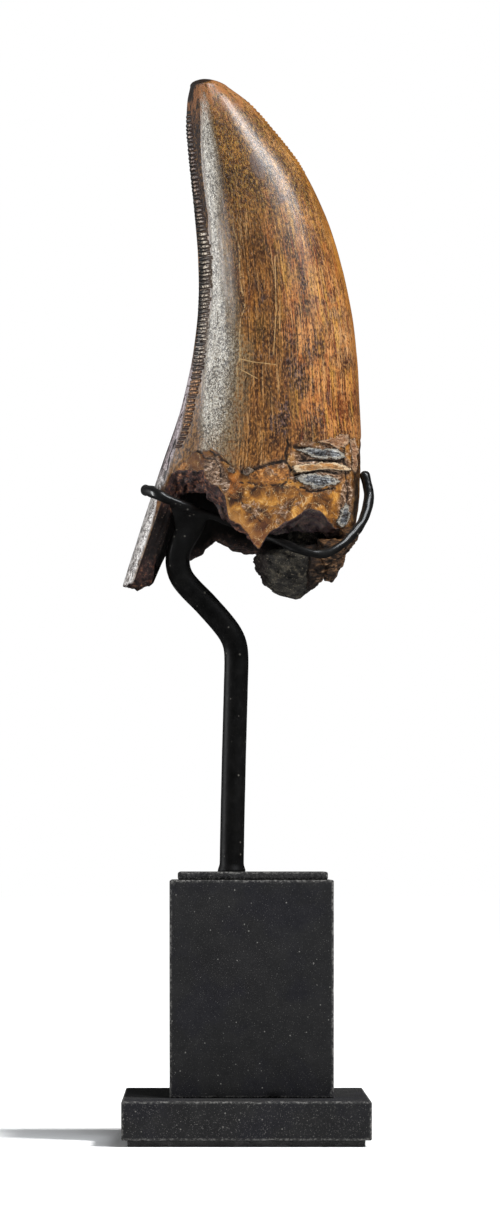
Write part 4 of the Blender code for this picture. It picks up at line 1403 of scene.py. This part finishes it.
def make_root_flake_finish():
    material, place = new_material("ridged root flakes")
    side, _, _ = place.split()
    ridge = place.stretch((0.5, 0.6, 1.3), (3, 1, 7)).noise(1.2, 4, 0.66, 0.6)
    colour = ridge.ramp((0.36, 20, 12, 8), (0.46, 52, 34, 20), (0.54, 86, 58, 33),
                        (0.64, 138, 102, 66), (0.74, 192, 158, 116))
    colour = colour.layered(
        (place.noise(0.5, 4, 0.6).step(0.53, 0.62, 0, 0.75), (32, 21, 16)),
        # painted shade: the flakes darken where they face the stone
        (side.step(15.6, 13.8, 0, 0.75), (26, 18, 15)),
    )
    height = ridge * 2 + place.noise(3, 4, 0.7)
    return finish(material, Base_Color=colour, Roughness=0.66, Normal=height.bump(0.8, 0.0003))


def make_flake_finish(name, painted_glint_share, stain, rim, *stops):
    """Layered mineral: bands of its own tones, stains, a pale rim, painted shade where the rim
    turns under, and a share of painted glints, near-white specks of highlight.
    """
    material, place = new_material(name)
    layers = place.stretch((0.42, 0.5, 3.2)).noise(1, 5, 0.7, 0.6)
    grit = place.noise(2.2, 3, 0.7)
    patch = place.noise(0.55, 4, 0.65, 0.6).step(0.5, 0.6)
    ragged = place.mark("rim") + (grit - 0.5) * 0.8
    # painted glints: near-white specks of highlight, also made glossier
    painted_glint = place.cells(2.2).step(0.26, 0.12, 0, painted_glint_share)
    colour = (layers * 0.75 + grit * 0.25).ramp(*stops).layered(
        (patch * 0.75, stain),
        (ragged.step(0.62, 0.8, 0, 0.55), rim),
        # painted shade: dark where the rim turns under the flake
        (ragged.step(0.88, 1.02, 0, 0.9), (40, 26, 18)),
        (painted_glint, (226, 228, 230)),
    )
    height = layers * 1.6 + grit * 0.8
    return finish(material, Base_Color=colour, Roughness=painted_glint.step(0, 1, 0.62, 0.25),
                  Normal=height.bump(0.8, 0.0003))


def make_black_steel(dust):
    material, place = new_material("blackened steel")
    patina = place.noise(0.55, 5, 0.6)
    _, _, level = place.split()
    mask, = place.through(dust, 0.25)
    colour = patina.ramp((0.35, 2, 2, 2), (0.55, 4, 4, 5), (0.72, 12, 12, 12)).layered(
        (place.cells(0.5).step(0.13, 0.07, 0, 0.42), (120, 116, 108)),
        (mask, (150, 146, 138)),
    )
    height = place.noise(4, 4, 0.6) * 0.25 + place.cells(0.75, "SMOOTH_F1") * 0.5
    return finish(
        material, Base_Color=colour, Roughness=patina * 0.24 + 0.36 + mask * 0.3,
        Specular_IOR_Level=0.2, Coat_Roughness=0.2,
        Coat_Weight=level.step(112, 122, 0, 0.9), Normal=height.bump(0.35, 0.00025),
    )


def make_black_stone(grain, dust):
    material, place = new_material("honed black stone")
    pale, dark, height = place.through(grain, 0.4)
    mask, = place.through(dust, 0.28)
    cloud = place.noise(0.12, 5, 0.6)
    # patches that break up the painted highlight along the edges
    worn_and_edge_highlight = place.noise(1.6, 3, 0.7).step(0.46, 0.62, 0.04, 0.42)
    colour = cloud.ramp((0.35, 29, 29, 30), (0.55, 32, 32, 33), (0.72, 36, 36, 37)).layered(
        (place.noise(0.07, 3).step(0.48, 0.62, 0, 0.6), (27, 27, 33)),
        (pale * 0.24, (104, 104, 106)),
        (dark * 0.5, (12, 12, 14)),
        (place.noise(5.5, 1).step(0.665, 0.74, 0, 0.5), (138, 136, 132)),
        (place.cells(0.5).step(0.09, 0.05, 0, 0.36), (168, 166, 160)),
        (mask, (158, 155, 150)),
        # pale edges: a painted highlight along the arrises, broken up in patches
        (place.mark("arris").step(0.55, 0.95) * worn_and_edge_highlight, (146, 144, 140)),
    )
    return finish(material, Base_Color=colour, Roughness=cloud * 0.16 + 0.68,
                  Specular_IOR_Level=0.12, Normal=height.bump(0.16, 0.00012))


def make_black_felt(dust):
    material, place = new_material("black felt")
    fibre = place.stretch((1, 1, 2.2)).noise(3.2, 6, 0.75, 1.2)
    mask, = place.through(dust, 1.3)
    colour = fibre.ramp((0.34, 12, 12, 13), (0.52, 28, 28, 29), (0.7, 62, 61, 60))
    return finish(material, Base_Color=colour.layered((mask, (170, 166, 160))), Roughness=0.95,
                  Sheen_Weight=0.35, Sheen_Roughness=0.5, Normal=fibre.bump(0.9, 0.0004))


# ------ camera, floor, light
def make_camera():
    camera = new_object("camera", bpy.data.cameras.new("camera"), sensor_fit="VERTICAL",
                        sensor_height=36, lens=119.7, shift_x=0.037, shift_y=0.204)
    camera.location = (-0.00833, -0.835, 0.05707)
    camera.rotation_euler = (math.radians(90), 0, 0)
    bpy.context.scene.camera = camera


FLOOR_REACH = 6


def make_floor():
    mesh = bpy.data.meshes.new("floor")
    corners = [(-1, -1), (1, -1), (1, 1), (-1, 1)]
    mesh.from_pydata([(x * FLOOR_REACH, y * FLOOR_REACH, 0) for x, y in corners], [],
                     [(0, 1, 2, 3)])
    floor = new_object("floor", mesh)
    material = bpy.data.materials.new("pale paper sweep")
    material.use_nodes = True
    finish(material, Base_Color=(0.95, 0.95, 0.95, 1), Roughness=1, Specular_IOR_Level=0)
    mesh.materials.append(material)
    floor.visible_glossy = False


def softbox(name, place, target, width, height, power, colour, along=(0, 0, 1)):
    """Soft rectangular light facing a target, its height running along a direction."""
    light = new_object(name, bpy.data.lights.new(name, "AREA"), shape="RECTANGLE",
                       size=width, size_y=height, energy=power, color=colour)
    light.location = place
    out = (Vector(place) - Vector(target)).normalized()
    up = (Vector(along) - out * Vector(along).dot(out)).normalized()
    light.rotation_euler = Matrix((up.cross(out), up, out)).transposed().to_euler()


KEY_ELEVATION = math.radians(52)
KEY_SIDE = (0.9, -0.44, 0)
CROWN = (0, 0, 0.205)
SKY = (0.93, 0.965, 1)


def make_lights():
    sun = new_object("key", bpy.data.lights.new("key", "SUN"), energy=4, angle=math.radians(9))
    toward = Vector(KEY_SIDE).normalized() * math.cos(KEY_ELEVATION)
    toward.z = math.sin(KEY_ELEVATION)
    sun.rotation_euler = toward.to_track_quat("Z", "Y").to_euler()
    sun.visible_glossy = False
    softbox("upper softbox", (0.345, -0.72, 1.245), CROWN, 0.23, 0.6, 5, SKY,
            (0.17, -0.31, -0.23))
    softbox("side softbox", (0.715, -0.715, 1.045), CROWN, 0.26, 0.54, 5.2, SKY,
            (0.38, 0.2, -0.12))
    softbox("left strip", (-0.95, 0.02, 0.28), (0, 0, 0.14), 0.22, 0.6, 4.5,
            (0.98, 0.99, 1))


def make_world():
    """White where the camera sees it, and a faint white light on everything else."""
    world = bpy.data.worlds.new("white studio")
    bpy.context.scene.world = world
    world.use_nodes = True
    tree = world.node_tree
    tree.nodes.clear()
    seen_by_camera = add_node(tree, "ShaderNodeLightPath", output="Is Camera Ray")
    lit, seen = [
        add_node(tree, "ShaderNodeBackground", [("Color", (1, 1, 1, 1)), ("Strength", strength)])
        for strength in (0.05, 1)
    ]
    both = add_node(tree, "ShaderNodeMixShader", enumerate((seen_by_camera, lit, seen)))
    feed(tree.nodes.new("ShaderNodeOutputWorld").inputs["Surface"], both)


def main():
    grain = mineral_grain_group()
    dust = dust_group()
    make_camera()
    make_floor()
    make_lights()
    make_world()
    bpy.context.scene.view_settings.view_transform = "Standard"

    make_tooth_body(make_fossil_tooth(grain))
    make_comb("serrations", (211.8, 141.2), 84, 0.3, front_keel, make_serration_finish())
    make_comb("back_serrations", (213.6, 198.2), 24, 0.26, back_keel, make_back_serration_finish())
    make_root_stone(make_root_stone_finish(grain))
    ridged = make_root_flake_finish()
    for number, flake in enumerate(ROOT_FLAKES):
        make_root_flake(*flake, 301 + 20 * number, ridged)
    finishes = {name: make_flake_finish(*looks) for name, looks in FLAKE_FINISHES.items()}
    for number, (name, finish_name, lift, points) in enumerate(SURFACE_FLAKES):
        make_surface_flake(name, lift, points, 401 + 20 * number, finishes[finish_name])
    make_armature(make_black_steel(dust))
    make_base(make_black_stone(grain, dust), make_black_felt(dust))


main()
